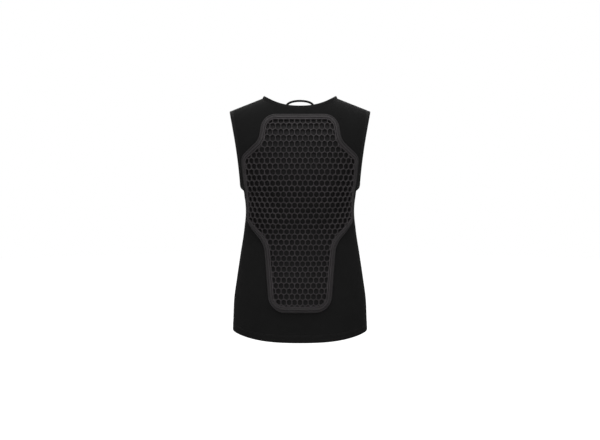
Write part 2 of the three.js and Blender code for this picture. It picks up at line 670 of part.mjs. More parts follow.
add("back_panel", backPanel(), FABRIC);
add("front_panel_right", frontPanel(1), FABRIC);
add("front_panel_left", frontPanel(-1), FABRIC);
add("neck_band", neckBand(), BINDING);
add("armhole_band_right", armholeBand(1), BINDING);
add("armhole_band_left", armholeBand(-1), BINDING);
add("front_zip", frontZip(), ZIP);
add("hang_loop", hangLoop(), CORD);
add("protector_rim", protectorRim(), RIM);
add("protector_core", protectorCore(), FOAM);

export default vest;
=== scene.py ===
# %% [markdown]
# A protective vest, dressed around its construction model
#
# The real object is a close-fitting sleeveless vest of black stretch fabric, with a moulded back protector:
# a raised rim round a field of upright six-sided open cells. The construction model already holds every
# piece at its real size. This lesson loads it as a fixed frame and makes the fine surface of each piece
# where the frame has it.

# %% Load the construction model
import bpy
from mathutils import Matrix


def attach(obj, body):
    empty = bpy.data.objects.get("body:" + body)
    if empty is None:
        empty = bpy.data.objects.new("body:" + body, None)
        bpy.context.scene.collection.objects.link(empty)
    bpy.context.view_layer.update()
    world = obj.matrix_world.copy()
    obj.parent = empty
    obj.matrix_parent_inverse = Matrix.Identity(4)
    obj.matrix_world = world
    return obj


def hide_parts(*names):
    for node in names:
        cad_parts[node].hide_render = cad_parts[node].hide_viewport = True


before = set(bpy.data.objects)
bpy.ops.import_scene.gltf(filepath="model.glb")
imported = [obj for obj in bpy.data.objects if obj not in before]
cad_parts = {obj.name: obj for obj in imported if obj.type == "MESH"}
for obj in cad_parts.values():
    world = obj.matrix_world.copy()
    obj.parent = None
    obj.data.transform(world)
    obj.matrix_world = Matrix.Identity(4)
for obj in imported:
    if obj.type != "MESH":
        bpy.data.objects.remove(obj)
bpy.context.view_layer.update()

from types import SimpleNamespace

import bpy
import numpy as np

# %% [markdown]
# The torso as a table
#
# A worn garment takes its form from the body, and a body is easiest to describe by horizontal sections. Each
# row of the table is one section, as shares of a few real sizes. A smooth curve through each column gives
# the section at any height. This is how a boat or a dress form is lofted, and it keeps the cloth free of
# bumps that a sculpted mesh would have. All lengths are metres.

# %% Sizes of the torso shell
TORSO_LENGTH = 0.592
HEM_HALF_WIDTH = 0.173
BACK_DEPTH = 0.110
FRONT_DEPTH = 0.118
HEM_DROP = 0.013
CLOTH = 0.002

NECK_HALF_WIDTH = 0.096
NECK_DROP_BACK = 0.0285
NECK_DROP_FRONT = 0.074
NECK_FLATNESS_BACK = 2.3
NECK_FLATNESS_FRONT = 2.0
SHOULDER_HALF_WIDTH = 0.170
SHOULDER_SLOPE = 0.392
SHOULDER_ROUNDING = 0.112
ARMHOLE_DEPTH = 0.234
ARMHOLE_HOLLOW = 1.9

SEAM_GAP = 0.0003
ZIP_HALF_WIDTH = 0.012

SECTION_COLUMNS = ("level", "width", "back", "front", "square")
SECTION_ROWS = np.array([
    (0.000, 1.190, 0.800, 0.560, 2.40),
    (0.100, 1.160, 0.900, 0.690, 2.40),
    (0.200, 1.090, 0.985, 0.850, 2.40),
    (0.300, 0.990, 1.000, 0.970, 2.45),
    (0.363, 0.890, 0.975, 1.000, 2.50),
    (0.397, 0.829, 0.943, 0.986, 2.50),
    (0.482, 0.800, 0.860, 0.900, 2.50),
    (0.565, 0.826, 0.800, 0.860, 2.45),
    (0.680, 0.888, 0.820, 0.880, 2.35),
    (0.776, 0.938, 0.890, 0.920, 2.25),
    (0.877, 0.983, 0.960, 0.955, 2.05),
    (1.000, 1.000, 1.000, 0.970, 2.00),
])
SECTIONS = dict(zip(SECTION_COLUMNS, SECTION_ROWS.T))
print(len(SECTION_ROWS), "sections from the shoulders down to the hem")


# %% Curves through the table
def table_curve(column):
    """A smooth function of the level through one column: a cubic between each two rows, whose slope at a row
    is the harmonic mean of the rises before and after it, or none where they differ in sign, so it never
    overshoots."""
    level, value = SECTIONS["level"], SECTIONS[column]
    rise = np.diff(value) / np.diff(level)
    before, after = rise[:-1], rise[1:]
    agree = before * after > 0
    mean = 2 * before * after / np.where(agree, before + after, 1)
    slope = np.concatenate([rise[:1], np.where(agree, mean, 0), rise[-1:]])

    def curve(at):
        at = np.clip(at, level[0], level[-1])
        i = np.clip(np.searchsorted(level, at, side="right") - 1, 0, len(level) - 2)
        step = level[i + 1] - level[i]
        t = (at - level[i]) / step
        ends = value[i] * (1 + 2 * t) * (1 - t) ** 2 + value[i + 1] * t * t * (3 - 2 * t)
        return ends + step * (slope[i] * t * (1 - t) ** 2 - slope[i + 1] * t * t * (1 - t))

    return curve


width_curve = table_curve("width")
square_curve = table_curve("square")


def half_width(z):
    """Half the torso's width at a height: the hem's half width times the table's share."""
    return HEM_HALF_WIDTH * width_curve(-z / TORSO_LENGTH)


def make_face(side, column, depth, neck_drop, neck_flatness, hem_drop, start):
    """One face of the torso. side is the sign of Y, and start is where its panel begins beside the centre
    line."""
    curve = table_curve(column)
    return SimpleNamespace(
        side=side,
        depth=lambda z: depth * curve(-z / TORSO_LENGTH),
        neck_drop=neck_drop,
        neck_flatness=neck_flatness,
        hem_drop=hem_drop,
        start=start,
    )


BACK = make_face(-1, "back", BACK_DEPTH, NECK_DROP_BACK, NECK_FLATNESS_BACK, HEM_DROP, 0.0)
FRONT = make_face(1, "front", FRONT_DEPTH, NECK_DROP_FRONT, NECK_FLATNESS_FRONT, 0.0,
                  ZIP_HALF_WIDTH + SEAM_GAP)
print("waist is", round(2 * HEM_HALF_WIDTH * SECTIONS["width"].min(), 3), "m wide")


# %% The shell: shoulder line, section and depth
def ridge(x):
    """Height of the shoulder line over x: a straight fall outside the neck, and a parabola across it."""
    fall = -SHOULDER_SLOPE * (x - NECK_HALF_WIDTH)
    dome = SHOULDER_SLOPE * NECK_HALF_WIDTH * (1 - (x / NECK_HALF_WIDTH) ** 2) / 2
    return np.where(x >= NECK_HALF_WIDTH, fall, dome)


def neck_line(face, x):
    """Height of the neckline over x: a power curve, flat in the middle, that reaches the shoulder seam at
    the neck's half width."""
    return -face.neck_drop * (1 - (x / NECK_HALF_WIDTH) ** face.neck_flatness)


TIP_Z = float(ridge(SHOULDER_HALF_WIDTH))
UNDERARM_Z = -ARMHOLE_DEPTH


def edge(z):
    """Half width of the panel's edge: the side seam below the underarm, the hollowed armhole line above
    it."""
    rise = np.clip((z - UNDERARM_Z) / (TIP_Z - UNDERARM_Z), 0, 1)
    low = half_width(UNDERARM_Z)
    armhole = low + (SHOULDER_HALF_WIDTH - low) * rise**ARMHOLE_HOLLOW
    return np.where(z <= UNDERARM_Z, half_width(z), armhole)


def depth_over(face, x, z):
    """Distance of the shell from the seam plane: a superellipse over x, times a quarter ellipse that rounds
    it over towards the shoulder line."""
    share = np.minimum(1, np.abs(x) / half_width(z))
    power = square_curve(-z / TORSO_LENGTH)
    across = (1 - share**power) ** (1 / power)
    below = np.clip((ridge(np.abs(x)) - z) / SHOULDER_ROUNDING, 0, 1)
    return face.depth(z) * across * np.sqrt(1 - (1 - below) ** 2)


def shell_point(face, x, z):
    """The shell's point over x at a height."""
    return np.stack([x, face.side * depth_over(face, x, z), z], axis=-1)


# %% [markdown]
# Girth along a section
#
# A protector and a stitch line are laid out with a tape measure round the body, not by the distance from the
# centre plane. So each section gets a table of girth against angle once, and a lookup turns a girth and a
# height into a point. The whole table is worked out as one array.

# %% Girth tables
GIRTH_LOWEST = -0.622
GIRTH_HIGHEST = -0.030
GIRTH_LEVELS = 593
GIRTH_ANGLES = 241
GIRTH_SHARES = 193
LAST_LEVEL = GIRTH_LEVELS - 1.001
LAST_SHARE = GIRTH_SHARES - 1 - 1e-9


def measure_girth(face):
    """Adds to a face its levels, the full girth at each, and the section's angle at even shares of that
    girth."""
    levels = np.linspace(GIRTH_LOWEST, GIRTH_HIGHEST, GIRTH_LEVELS)
    angle = np.linspace(0, np.pi / 2, GIRTH_ANGLES)
    x = half_width(levels)[:, None] * np.sin(angle)
    y = depth_over(face, x, levels[:, None])
    steps = np.hypot(np.diff(x, axis=1), np.diff(y, axis=1))
    girth = np.concatenate([np.zeros((GIRTH_LEVELS, 1)), np.cumsum(steps, axis=1)], axis=1)
    lane = 2.0 * np.arange(GIRTH_LEVELS)[:, None]
    share = girth / girth[:, -1:]
    wanted = np.linspace(0, 1, GIRTH_SHARES) + lane
    known = np.broadcast_to(angle, share.shape)
    angles = np.interp(wanted.ravel(), (share + lane).ravel(), known.ravel())
    face.levels = levels
    face.girths = girth[:, -1]
    face.angles = angles.reshape(GIRTH_LEVELS, GIRTH_SHARES)


def full_girth(face, z):
    """Girth from the centre line to the side seam at a height."""
    return np.interp(z, face.levels, face.girths)


def girth_point(face, girth, z):
    """The shell's point at a girth from the centre line, by a bilinear lookup of the section's angle."""
    row = (z - GIRTH_LOWEST) / (GIRTH_HIGHEST - GIRTH_LOWEST) * (GIRTH_LEVELS - 1)
    row = np.clip(row, 0, LAST_LEVEL)
    share = np.clip(np.abs(girth) / full_girth(face, z), 0, 1) * (GIRTH_SHARES - 1)
    share = np.minimum(share, LAST_SHARE)
    i, j = row.astype(int), share.astype(int)
    s, t = row - i, share - j
    low = face.angles[i, j] * (1 - t) + face.angles[i, j + 1] * t
    high = face.angles[i + 1, j] * (1 - t) + face.angles[i + 1, j + 1] * t
    x = half_width(z) * np.sin(low * (1 - s) + high * s)
    return shell_point(face, np.where(girth < 0, -x, x), z)


for face in (BACK, FRONT):
    measure_girth(face)
hem_girths = [round(float(full_girth(face, -TORSO_LENGTH)), 3) for face in (BACK, FRONT)]
print("girth at the hem from the centre to the side, back and front:", hem_girths)


# %% Vector helpers
SHORTEST = 1e-12
NORMAL_STEP = 0.0005


def unit(v):
    """Each vector divided by its length."""
    return v / np.maximum(np.linalg.norm(v, axis=-1, keepdims=True), SHORTEST)


def smooth_step(x):
    """0 below 0, 1 above 1, and three squares less two cubes between."""
    x = np.clip(x, 0, 1)
    return x * x * (3 - 2 * x)


def tangents(points, closed=False):
    """Unit direction along a row of points, from the neighbour before to the neighbour after."""
    if closed:
        return unit(np.roll(points, -1, axis=0) - np.roll(points, 1, axis=0))
    padded = np.concatenate([points[:1], points, points[-1:]])
    return unit(padded[2:] - padded[:-2])


def back_place(girth, z):
    """Shell point and outward normal of the back at a girth and a height, the normal from differences of 0.5
    mm."""
    across = girth_point(BACK, girth + NORMAL_STEP, z) - girth_point(BACK, girth - NORMAL_STEP, z)
    up = girth_point(BACK, girth, z + NORMAL_STEP) - girth_point(BACK, girth, z - NORMAL_STEP)
    return girth_point(BACK, girth, z), unit(np.cross(across, up))


# %% [markdown]
# Meshes from arrays
#
# Every piece below is a grid of points or a profile carried along a path. These helpers turn such arrays
# into a closed Blender mesh with foreach_set, which takes a whole array at once. A closed mesh has a signed
# volume, so its sign tells whether the faces point outwards, and one test turns them all if they don't.

# %% Mesh helpers
MAKE_SHARP = np.radians(52)


def signed_volume(points, faces):
    """Sum over the faces, cut into fans, of the volume between each triangle and the origin."""
    total = 0.0
    for k in range(1, faces.shape[1] - 1):
        a, b, c = points[faces[:, 0]], points[faces[:, k]], points[faces[:, k + 1]]
        total += float(np.einsum("ij,ij->i", a, np.cross(b, c)).sum()) / 6
    return total


def build(name, points, blocks, uvs=None, sharp=MAKE_SHARP):
    """A Blender object from points, blocks of faces with the same number of corners, and one UV for each
    corner. The faces are turned outwards as one."""
    if sum(signed_volume(points, block) for block in blocks) < 0:
        blocks = [block[:, ::-1] for block in blocks]
        uvs = None if uvs is None else [uv[:, ::-1] for uv in uvs]
    corners = np.concatenate([block.ravel() for block in blocks]).astype(np.int32)
    sizes = np.concatenate([np.full(len(block), block.shape[1]) for block in blocks])
    starts = np.concatenate([[0], np.cumsum(sizes)[:-1]]).astype(np.int32)
    mesh = bpy.data.meshes.new(name)
    mesh.vertices.add(len(points))
    mesh.vertices.foreach_set("co", points.astype(np.float32).ravel())
    mesh.loops.add(len(corners))
    mesh.loops.foreach_set("vertex_index", corners)
    mesh.polygons.add(len(sizes))
    mesh.polygons.foreach_set("loop_start", starts)
    mesh.update(calc_edges=True)
    if uvs is not None:
        layer = mesh.uv_layers.new(name="UVMap")
        flat_uv = np.concatenate([uv.reshape(-1, 2) for uv in uvs]).astype(np.float32)
        layer.data.foreach_set("uv", flat_uv.ravel())
    mesh.shade_smooth()
    mesh.set_sharp_from_angle(angle=sharp)
    thing = bpy.data.objects.new(name, mesh)
    bpy.context.scene.collection.objects.link(thing)
    print(name, len(points), "points", int((sizes - 2).sum()), "triangles")
    return thing


def point_values(thing, name, values):
    """Stores one number for each point of a piece, for its material to read."""
    attribute = thing.data.attributes.new(name, "FLOAT", "POINT")
    attribute.data.foreach_set("value", np.asarray(values, np.float32))


def lattice_faces(rows, columns, wrap_rows=False, wrap_columns=False):
    """Quads of a grid, as indices of its points, and the same quads as unwrapped (row, column) pairs for
    UVs."""
    i = np.arange(rows if wrap_rows else rows - 1)[:, None]
    j = np.arange(columns if wrap_columns else columns - 1)[None, :]
    turns = [(0, 0), (0, 1), (1, 1), (1, 0)]
    corners = [np.stack(np.broadcast_arrays(i + a, j + b), axis=-1) for a, b in turns]
    pairs = np.stack(corners, axis=2).reshape(-1, 4, 2)
    return (pairs[..., 0] % rows) * columns + pairs[..., 1] % columns, pairs


def fan_cap(ring):
    """Quads and one triangle or none that close a ring of point indices, cut from its first corner."""
    quads = [[ring[0], ring[k], ring[k + 1], ring[k + 2]] for k in range(1, len(ring) - 2, 2)]
    last = [[ring[0], ring[-2], ring[-1]]] if len(ring) % 2 else []
    return np.array(quads).reshape(-1, 4), np.array(last, int).reshape(-1, 3)


# %% [markdown]
# Panels of stretch fabric
#
# The vest has a back panel and two fronts. A panel is one grid: columns run from the centre to the side, and
# rows from the hem up to the underarm and on to the neckline and the shoulder seam. The grid's edges then
# lie exactly on the seams, which a mesh cut from a torso would not give. The fabric is held stretched by the
# body, so it isn't simulated: its few soft drag lines are a short table, and a hem turned up 20 mm stands a
# little proud.

# %% Panel points and normals
EDGE_STEP = 1e-3
HEM_SQUARENESS = 4


def panel_point(face, column, row):
    """A point of a panel. Rows 0 to 1 climb from the hem to the underarm, and 1 to 2 from there to the top
    edge, with the steps closer together at both ends. Columns share the girth below and the width above."""
    column, row = np.broadcast_arrays(np.asarray(column, float), np.asarray(row, float))
    hem = -TORSO_LENGTH - face.hem_drop * (1 - np.sin(column * np.pi / 2) ** HEM_SQUARENESS)
    z_low = hem + np.minimum(row, 1) * (UNDERARM_Z - hem)
    low = girth_point(face, face.start + column * (full_girth(face, z_low) - face.start), z_low)
    x_top = face.start + column * (SHOULDER_HALF_WIDTH - face.start)
    top = np.where(x_top < NECK_HALF_WIDTH, neck_line(face, x_top), ridge(x_top))
    climb = (1 - np.cos(np.clip(row - 1, 0, 1) * np.pi)) / 2
    z = UNDERARM_Z + climb * (top - UNDERARM_Z)
    level = np.full(column.shape, UNDERARM_Z)
    x_low = girth_point(face, face.start + column * (full_girth(face, level) - face.start), level)[..., 0]
    low_share = (x_low - face.start) / (half_width(UNDERARM_Z) - face.start)
    share = low_share + (column - low_share) * smooth_step(climb)
    high = shell_point(face, face.start + share * (edge(z) - face.start), z)
    return np.where((row <= 1)[..., None], low, high)


def panel_normal(face, column, row):
    """Outward normal of a panel from differences, with no Y part on the seams, where the two faces meet."""
    column, row = np.broadcast_arrays(np.asarray(column, float), np.asarray(row, float))
    across = panel_point(face, np.minimum(column + EDGE_STEP, 1), row)
    across = across - panel_point(face, np.maximum(column - EDGE_STEP, 0), row)
    up = panel_point(face, column, np.minimum(row + EDGE_STEP, 2))
    up = up - panel_point(face, column, np.maximum(row - EDGE_STEP, 0))
    normal = -face.side * np.cross(across, up)
    x_top = face.start + column * (SHOULDER_HALF_WIDTH - face.start)
    on_seam = ((column == 1) & (row <= 1)) | ((row == 2) & (x_top >= NECK_HALF_WIDTH - EDGE_STEP))
    normal[..., 1] = np.where(on_seam, 0, normal[..., 1])
    return unit(normal)


# %% Relief of the cloth: drag lines and the turned-up hem
HEM_TURN = 0.020
HEM_LIFT = 0.0004
HEM_STEP = 0.0012
HOLLOW_DEPTH = 0.6
HOLLOW_OFFSET = 1.7
SIDE_FADE = 0.08
ZIP_FADE = 0.10
CENTRE_FADE = 0.001
TOP_FADE = 0.15
HEM_FADE = 0.05
FOLD_COLUMNS = ("side", "x", "z", "reach", "spread", "slant", "lift")
FOLD_ROWS = np.array([
    (-1, 0.118, -0.262, 0.030, 0.0075, 0.50, 0.0009),
    (-1, 0.124, -0.318, 0.026, 0.0065, -0.28, 0.0008),
    (-1, 0.122, -0.352, 0.030, 0.0080, -0.45, 0.0010),
    (-1, 0.118, -0.410, 0.034, 0.0100, -0.95, 0.0009),
    (-1, 0.126, -0.470, 0.040, 0.0120, -1.30, 0.0008),
    (1, 0.108, -0.205, 0.040, 0.0085, 0.75, 0.0012),
    (1, 0.116, -0.258, 0.036, 0.0075, 0.45, 0.0012),
    (1, 0.085, -0.300, 0.046, 0.0090, 0.22, 0.0012),
    (1, 0.100, -0.338, 0.044, 0.0080, -0.12, 0.0012),
    (1, 0.080, -0.372, 0.050, 0.0100, -0.36, 0.0011),
    (1, 0.104, -0.420, 0.044, 0.0120, -0.90, 0.0012),
    (1, 0.070, -0.480, 0.050, 0.0140, -1.25, 0.0010),
    (1, 0.120, -0.520, 0.036, 0.0130, -1.40, 0.0009),
    (1, 0.128, -0.110, 0.034, 0.0090, 1.10, 0.0010),
])
FOLDS = dict(zip(FOLD_COLUMNS, FOLD_ROWS.T))


def fold_height(face, x, z):
    """Sum of the soft ridges of one face: each is a bell across its line, less a weaker bell beside it,
    times a wider bell along it."""
    f = {name: values[FOLDS["side"] == face.side] for name, values in FOLDS.items()}
    dx = np.abs(x)[..., None] - f["x"]
    dz = z[..., None] - f["z"]
    along = dx * np.cos(f["slant"]) + dz * np.sin(f["slant"])
    across = dz * np.cos(f["slant"]) - dx * np.sin(f["slant"])
    raised_bell = np.exp(-((across / f["spread"]) ** 2))
    hollow_bell = np.exp(-(((across + HOLLOW_OFFSET * f["spread"]) / f["spread"]) ** 2))
    profile = raised_bell - HOLLOW_DEPTH * hollow_bell
    return (f["lift"] * profile * np.exp(-((along / f["reach"]) ** 2))).sum(axis=-1)


def cloth_relief(face, column, row, point):
    """Height of the real cloth over the plain shell: drag lines that die out at the seams, and the hem's
    step."""
    middle_fade = ZIP_FADE if face.start else CENTRE_FADE
    beside = smooth_step((1 - column) / SIDE_FADE) * smooth_step(column / middle_fade)
    below_top = smooth_step((2 - row) / TOP_FADE)
    above_hem = np.minimum(row, 1) * (TORSO_LENGTH - ARMHOLE_DEPTH)
    folds = fold_height(face, point[..., 0], point[..., 2])
    folds = folds * beside * below_top * smooth_step(above_hem / HEM_FADE)
    hem = HEM_LIFT * (1 - smooth_step((above_hem - HEM_TURN + HEM_STEP / 2) / HEM_STEP))
    return folds + hem


def cloth_place(face, column, row, hand):
    """Point and normal of the finished cloth, where a negative column or hand is mirrored to the left."""
    column = np.asarray(column, float)
    mirror = np.where((column < 0) | (hand < 0), -1.0, 1.0)
    column, row, mirror = np.broadcast_arrays(np.abs(column), np.asarray(row, float), mirror)
    point, normal = panel_point(face, column, row), panel_normal(face, column, row)
    point = point + normal * cloth_relief(face, column, row, point)[..., None]
    point[..., 1] += face.side * SEAM_GAP / 2
    flip = np.stack([mirror, np.ones_like(mirror), np.ones_like(mirror)], axis=-1)
    return point * flip, normal * flip


# %% Grid lines of a panel
NECK_LINES = 44
SHOULDER_LINES = 20
HEM_LINES = 30
HEM_LINES_REACH = 1.3
SIDE_LINES = 78
ARMHOLE_LINES = 92


def neck_columns(face, count):
    """Columns that end on the neckline, closer together towards the shoulder seam."""
    last = (NECK_HALF_WIDTH - face.start) / (SHOULDER_HALF_WIDTH - face.start)
    return last * np.sin(np.linspace(0, np.pi / 2, count + 1))


def panel_columns(face):
    """All columns of a panel: those of the neckline, then even steps to the shoulder's tip."""
    neck = neck_columns(face, NECK_LINES)
    return np.concatenate([neck, np.linspace(neck[-1], 1, SHOULDER_LINES + 1)[1:]])


def panel_rows():
    """All rows of a panel: fine ones over the turned-up hem, then to the underarm, then to the top edge."""
    hem_share = HEM_LINES_REACH * HEM_TURN / (TORSO_LENGTH - ARMHOLE_DEPTH)
    hem = np.linspace(0, hem_share, HEM_LINES + 1)[:-1]
    side = np.linspace(hem_share, 1, SIDE_LINES + 1)[:-1]
    return np.concatenate([hem, side, np.linspace(1, 2, ARMHOLE_LINES + 1)])


# %% A cloth panel as a closed wall
EDGE_ROLL = 0.0006


def wall_mesh(name, outer, normal, uv):
    """Closed wall between a grid and its copy sunk by the cloth's thickness, its border rolled outwards by a
    mid row of points so that the cut edge is round."""
    rows, columns = outer.shape[:2]
    inner = outer - normal * CLOTH
    grid = np.arange(rows * columns).reshape(rows, columns)
    loop = np.concatenate([grid[0, :-1], grid[:-1, -1], grid[-1, :0:-1], grid[:0:-1, 0]])
    edge_points = outer.reshape(-1, 3)[loop]
    away = unit(np.cross(tangents(edge_points, closed=True), normal.reshape(-1, 3)[loop]))
    middle_point = outer[rows // 2, columns // 2]
    outward = np.sign(np.einsum("ij,ij->i", away, edge_points - middle_point).sum())
    middle = (edge_points + inner.reshape(-1, 3)[loop]) / 2 + away * EDGE_ROLL * outward
    points = np.concatenate([outer.reshape(-1, 3), inner.reshape(-1, 3), middle])
    faces, pairs = lattice_faces(rows, columns)
    count = rows * columns
    nxt = np.roll(loop, -1)
    mid = 2 * count + np.arange(len(loop))
    mid_next = np.roll(mid, -1)
    upper = np.stack([loop, mid, mid_next, nxt], axis=1)
    lower = np.stack([mid, loop + count, nxt + count, mid_next], axis=1)
    flat_uv = uv.reshape(-1, 2)
    face_uv = uv[pairs[..., 0], pairs[..., 1]]
    border_uv = np.stack([flat_uv[loop], flat_uv[loop], flat_uv[nxt], flat_uv[nxt]], axis=1)
    return build(name, points, [faces, faces[:, ::-1] + count, upper, lower],
                 [face_uv, face_uv[:, ::-1], border_uv, border_uv])


def surface_area(outer):
    """Area of a grid's quads: half the length of the cross product of their diagonals."""
    one = outer[1:, 1:] - outer[:-1, :-1]
    other = outer[1:, :-1] - outer[:-1, 1:]
    return float(np.linalg.norm(np.cross(one, other), axis=-1).sum() / 2)


def panel_uv(outer):
    """UV in metres: u is the girth from the middle column, and v the length up each column from the hem."""
    across = np.linalg.norm(np.diff(outer, axis=1), axis=-1)
    u = np.concatenate([np.zeros((len(outer), 1)), np.cumsum(across, axis=1)], axis=1)
    up = np.linalg.norm(np.diff(outer, axis=0), axis=-1)
    v = np.concatenate([np.zeros((1, outer.shape[1])), np.cumsum(up, axis=0)])
    return np.stack([u - u[:, u.shape[1] // 2][:, None], v], axis=-1)


def cloth_panel(name, face, columns, hand):
    """A finished panel, with the area of its outer side in square metres."""
    rows = panel_rows()
    outer, normal = cloth_place(face, columns[None, :], rows[:, None], hand)
    return wall_mesh(name, outer, normal, panel_uv(outer)), surface_area(outer)


back_half, front_half = panel_columns(BACK), panel_columns(FRONT)
back_whole = np.concatenate([-back_half[:0:-1], back_half])
back_cloth, back_area = cloth_panel("back_cloth", BACK, back_whole, 1)
front_right, front_area = cloth_panel("front_cloth_right", FRONT, front_half, 1)
front_left, _ = cloth_panel("front_cloth_left", FRONT, front_half, -1)
print("worn areas: back", round(back_area, 4), "each front", round(front_area, 4), "square metres")

# %% [markdown]
# Bindings
#
# The neckline and the armholes end in a folded elastic tape that is sewn to the cloth's edge. It is one flat
# section with a round fold, carried along the edge. At each point the frame of the sweep comes from the
# cloth: its width runs away from the panel, and at the neck it leans up and inwards as a stand-up band does.

# %% Frames along an edge of the cloth
SIDEWAYS = np.array([1.0, 0.0, 0.0])
FORWARDS = np.array([0.0, 1.0, 0.0])
UPWARDS = np.array([0.0, 0.0, 1.0])
MIRROR = np.array([-1.0, 1.0, 1.0])
NECK_BAND_HEIGHT = 0.0085
NECK_BAND_LEAN = 0.45
UPRIGHT_PULL = 4.0
ARM_BAND_WIDTH = 0.0092
UNDERARM_FLARE = 0.8
FLARE_FADE = 8
BAND_THICKNESS = 0.0032
BAND_OVERLAP = 0.0012
TAPE_SEAM_SHARE = 0.72
TAPE_BULGE_POINTS = 6
TAPE_FOLD_POINTS = 11
NECK_BAND_LINES = 64
ARM_BAND_LINES = 96


def edge_place(face, column, row):
    """Middle of the cloth at a panel's edge, and the panel's outward normal there."""
    normal = panel_normal(face, column, row)
    return panel_point(face, column, row) - normal * CLOTH / 2, normal


def band_frames(middle, normal, closed, lean):
    """Frames of a band: across runs away from the panel and towards the lean, up is square to it and the
    tangent, and the origin clears the cloth by the seam's gap."""
    tangent = tangents(middle, closed)
    outwards = unit(np.cross(tangent, normal))
    across = outwards + lean
    across = unit(across - tangent * (across * tangent).sum(axis=1, keepdims=True))
    tilt = (across * outwards).sum(axis=1)
    clear = SEAM_GAP + BAND_THICKNESS / 2 * np.sqrt(np.maximum(0, 1 - tilt**2))
    return middle + outwards * clear[:, None], across, np.cross(across, tangent)


def armhole_frames():
    """From the underarm up the back to the shoulder's tip and down the front, for the right armhole. The
    band leans outwards at the underarm, by a power of the height that is still missing to the tip."""
    rows = 1 + np.linspace(0, 1, ARM_BAND_LINES + 1)
    back, back_normal = edge_place(BACK, np.ones_like(rows), rows)
    front, front_normal = edge_place(FRONT, np.ones_like(rows), rows)
    middle = np.concatenate([back, front[-2:0:-1]])
    missing = 1 - np.clip((middle[:, 2:] - UNDERARM_Z) / (TIP_Z - UNDERARM_Z), 0, 1)
    flare = UNDERARM_FLARE * missing**FLARE_FADE * SIDEWAYS
    return band_frames(middle, np.concatenate([back_normal, front_normal[-2:0:-1]]), True, flare)


def neck_frames():
    """From the left of the zip round the back of the neck to its right, the band leaning inwards and up."""
    back_columns = neck_columns(BACK, NECK_BAND_LINES)
    front_columns = neck_columns(FRONT, NECK_BAND_LINES)
    back, back_normal = edge_place(BACK, back_columns, np.full_like(back_columns, 2))
    front, front_normal = edge_place(FRONT, front_columns, np.full_like(front_columns, 2))
    right = np.concatenate([back, front[-2::-1]])
    right_normal = np.concatenate([back_normal, front_normal[-2::-1]])
    middle = np.concatenate([right[:0:-1] * MIRROR, right])[::-1]
    normal = np.concatenate([right_normal[:0:-1] * MIRROR, right_normal])[::-1]
    inwards = unit(middle * np.array([-1.0, -1.0, 0.0]))
    lean = (inwards * NECK_BAND_LEAN + UPWARDS) * UPRIGHT_PULL
    return band_frames(middle, normal, False, lean)


# %% Sweeping a section
def path_lengths(points, closed=False):
    """Length along a row of points from its first one, with one more entry for a closed row."""
    after = np.concatenate([points, points[:1]]) if closed else points
    return np.concatenate([[0], np.cumsum(np.linalg.norm(np.diff(after, axis=0), axis=1))])


def sweep(name, frames, section, closed, sharp=MAKE_SHARP):
    """One closed section of (across, up) points carried along frames of origin, across and up. UV is metres
    along the path and round the section."""
    origin, across, up = frames
    points = origin[:, None] + across[:, None] * section[None, :, :1]
    points = points + up[:, None] * section[None, :, 1:]
    faces, pairs = lattice_faces(len(origin), len(section), wrap_rows=closed, wrap_columns=True)
    u = path_lengths(origin, closed)
    v = path_lengths(section, closed=True)
    uv = np.stack([u[pairs[..., 0]], v[pairs[..., 1]]], axis=-1)
    blocks, uvs = [faces], [uv]
    if not closed:
        first = list(range(len(section)))
        last = [(len(origin) - 1) * len(section) + k for k in first]
        for ring in (first, last[::-1]):
            for cap in fan_cap(ring):
                if len(cap):
                    blocks.append(cap)
                    uvs.append(np.stack([np.zeros(cap.shape), v[cap % len(section)]], axis=-1))
    return build(name, points.reshape(-1, 3), blocks, uvs, sharp)


def folded_tape(width):
    """Section of a folded tape: two layers that bulge a little between the seam and a round fold, and reach
    a little over the cloth's edge."""
    half = BAND_THICKNESS / 2
    seam = half * TAPE_SEAM_SHARE
    bulge = np.linspace(0, 1, TAPE_BULGE_POINTS)
    across = bulge * (width - half + BAND_OVERLAP) - BAND_OVERLAP
    top = np.stack([across, seam + (half - seam) * np.sin(bulge * np.pi / 2)], axis=1)
    angle = np.linspace(np.pi / 2, -np.pi / 2, TAPE_FOLD_POINTS + 2)[1:-1]
    fold = np.stack([width - half + half * np.cos(angle), half * np.sin(angle)], axis=1)
    return np.concatenate([top, fold, top[::-1] * np.array([1, -1])])


def mirrored(frames):
    """Frames of the left side, from those of the right."""
    return tuple(part * MIRROR for part in frames)


neck_path = neck_frames()
arm_path = armhole_frames()
neck_binding = sweep("neck_binding", neck_path, folded_tape(NECK_BAND_HEIGHT), False)
arm_binding_right = sweep("armhole_binding_right", arm_path, folded_tape(ARM_BAND_WIDTH), True)
arm_binding_left = sweep("armhole_binding_left", mirrored(arm_path), folded_tape(ARM_BAND_WIDTH), True)

# %% [markdown]
# The protector's outline
#
# The protector is cut flat and bends round the back, so its outline is drawn on a flat pattern: six corners
# on each side, each with its own radius, joined by straight runs. The pattern gives a base line and an
# inward direction at every point. The rim, the border of the comb and the tool that trims the comb are all
# that same line, moved inwards.

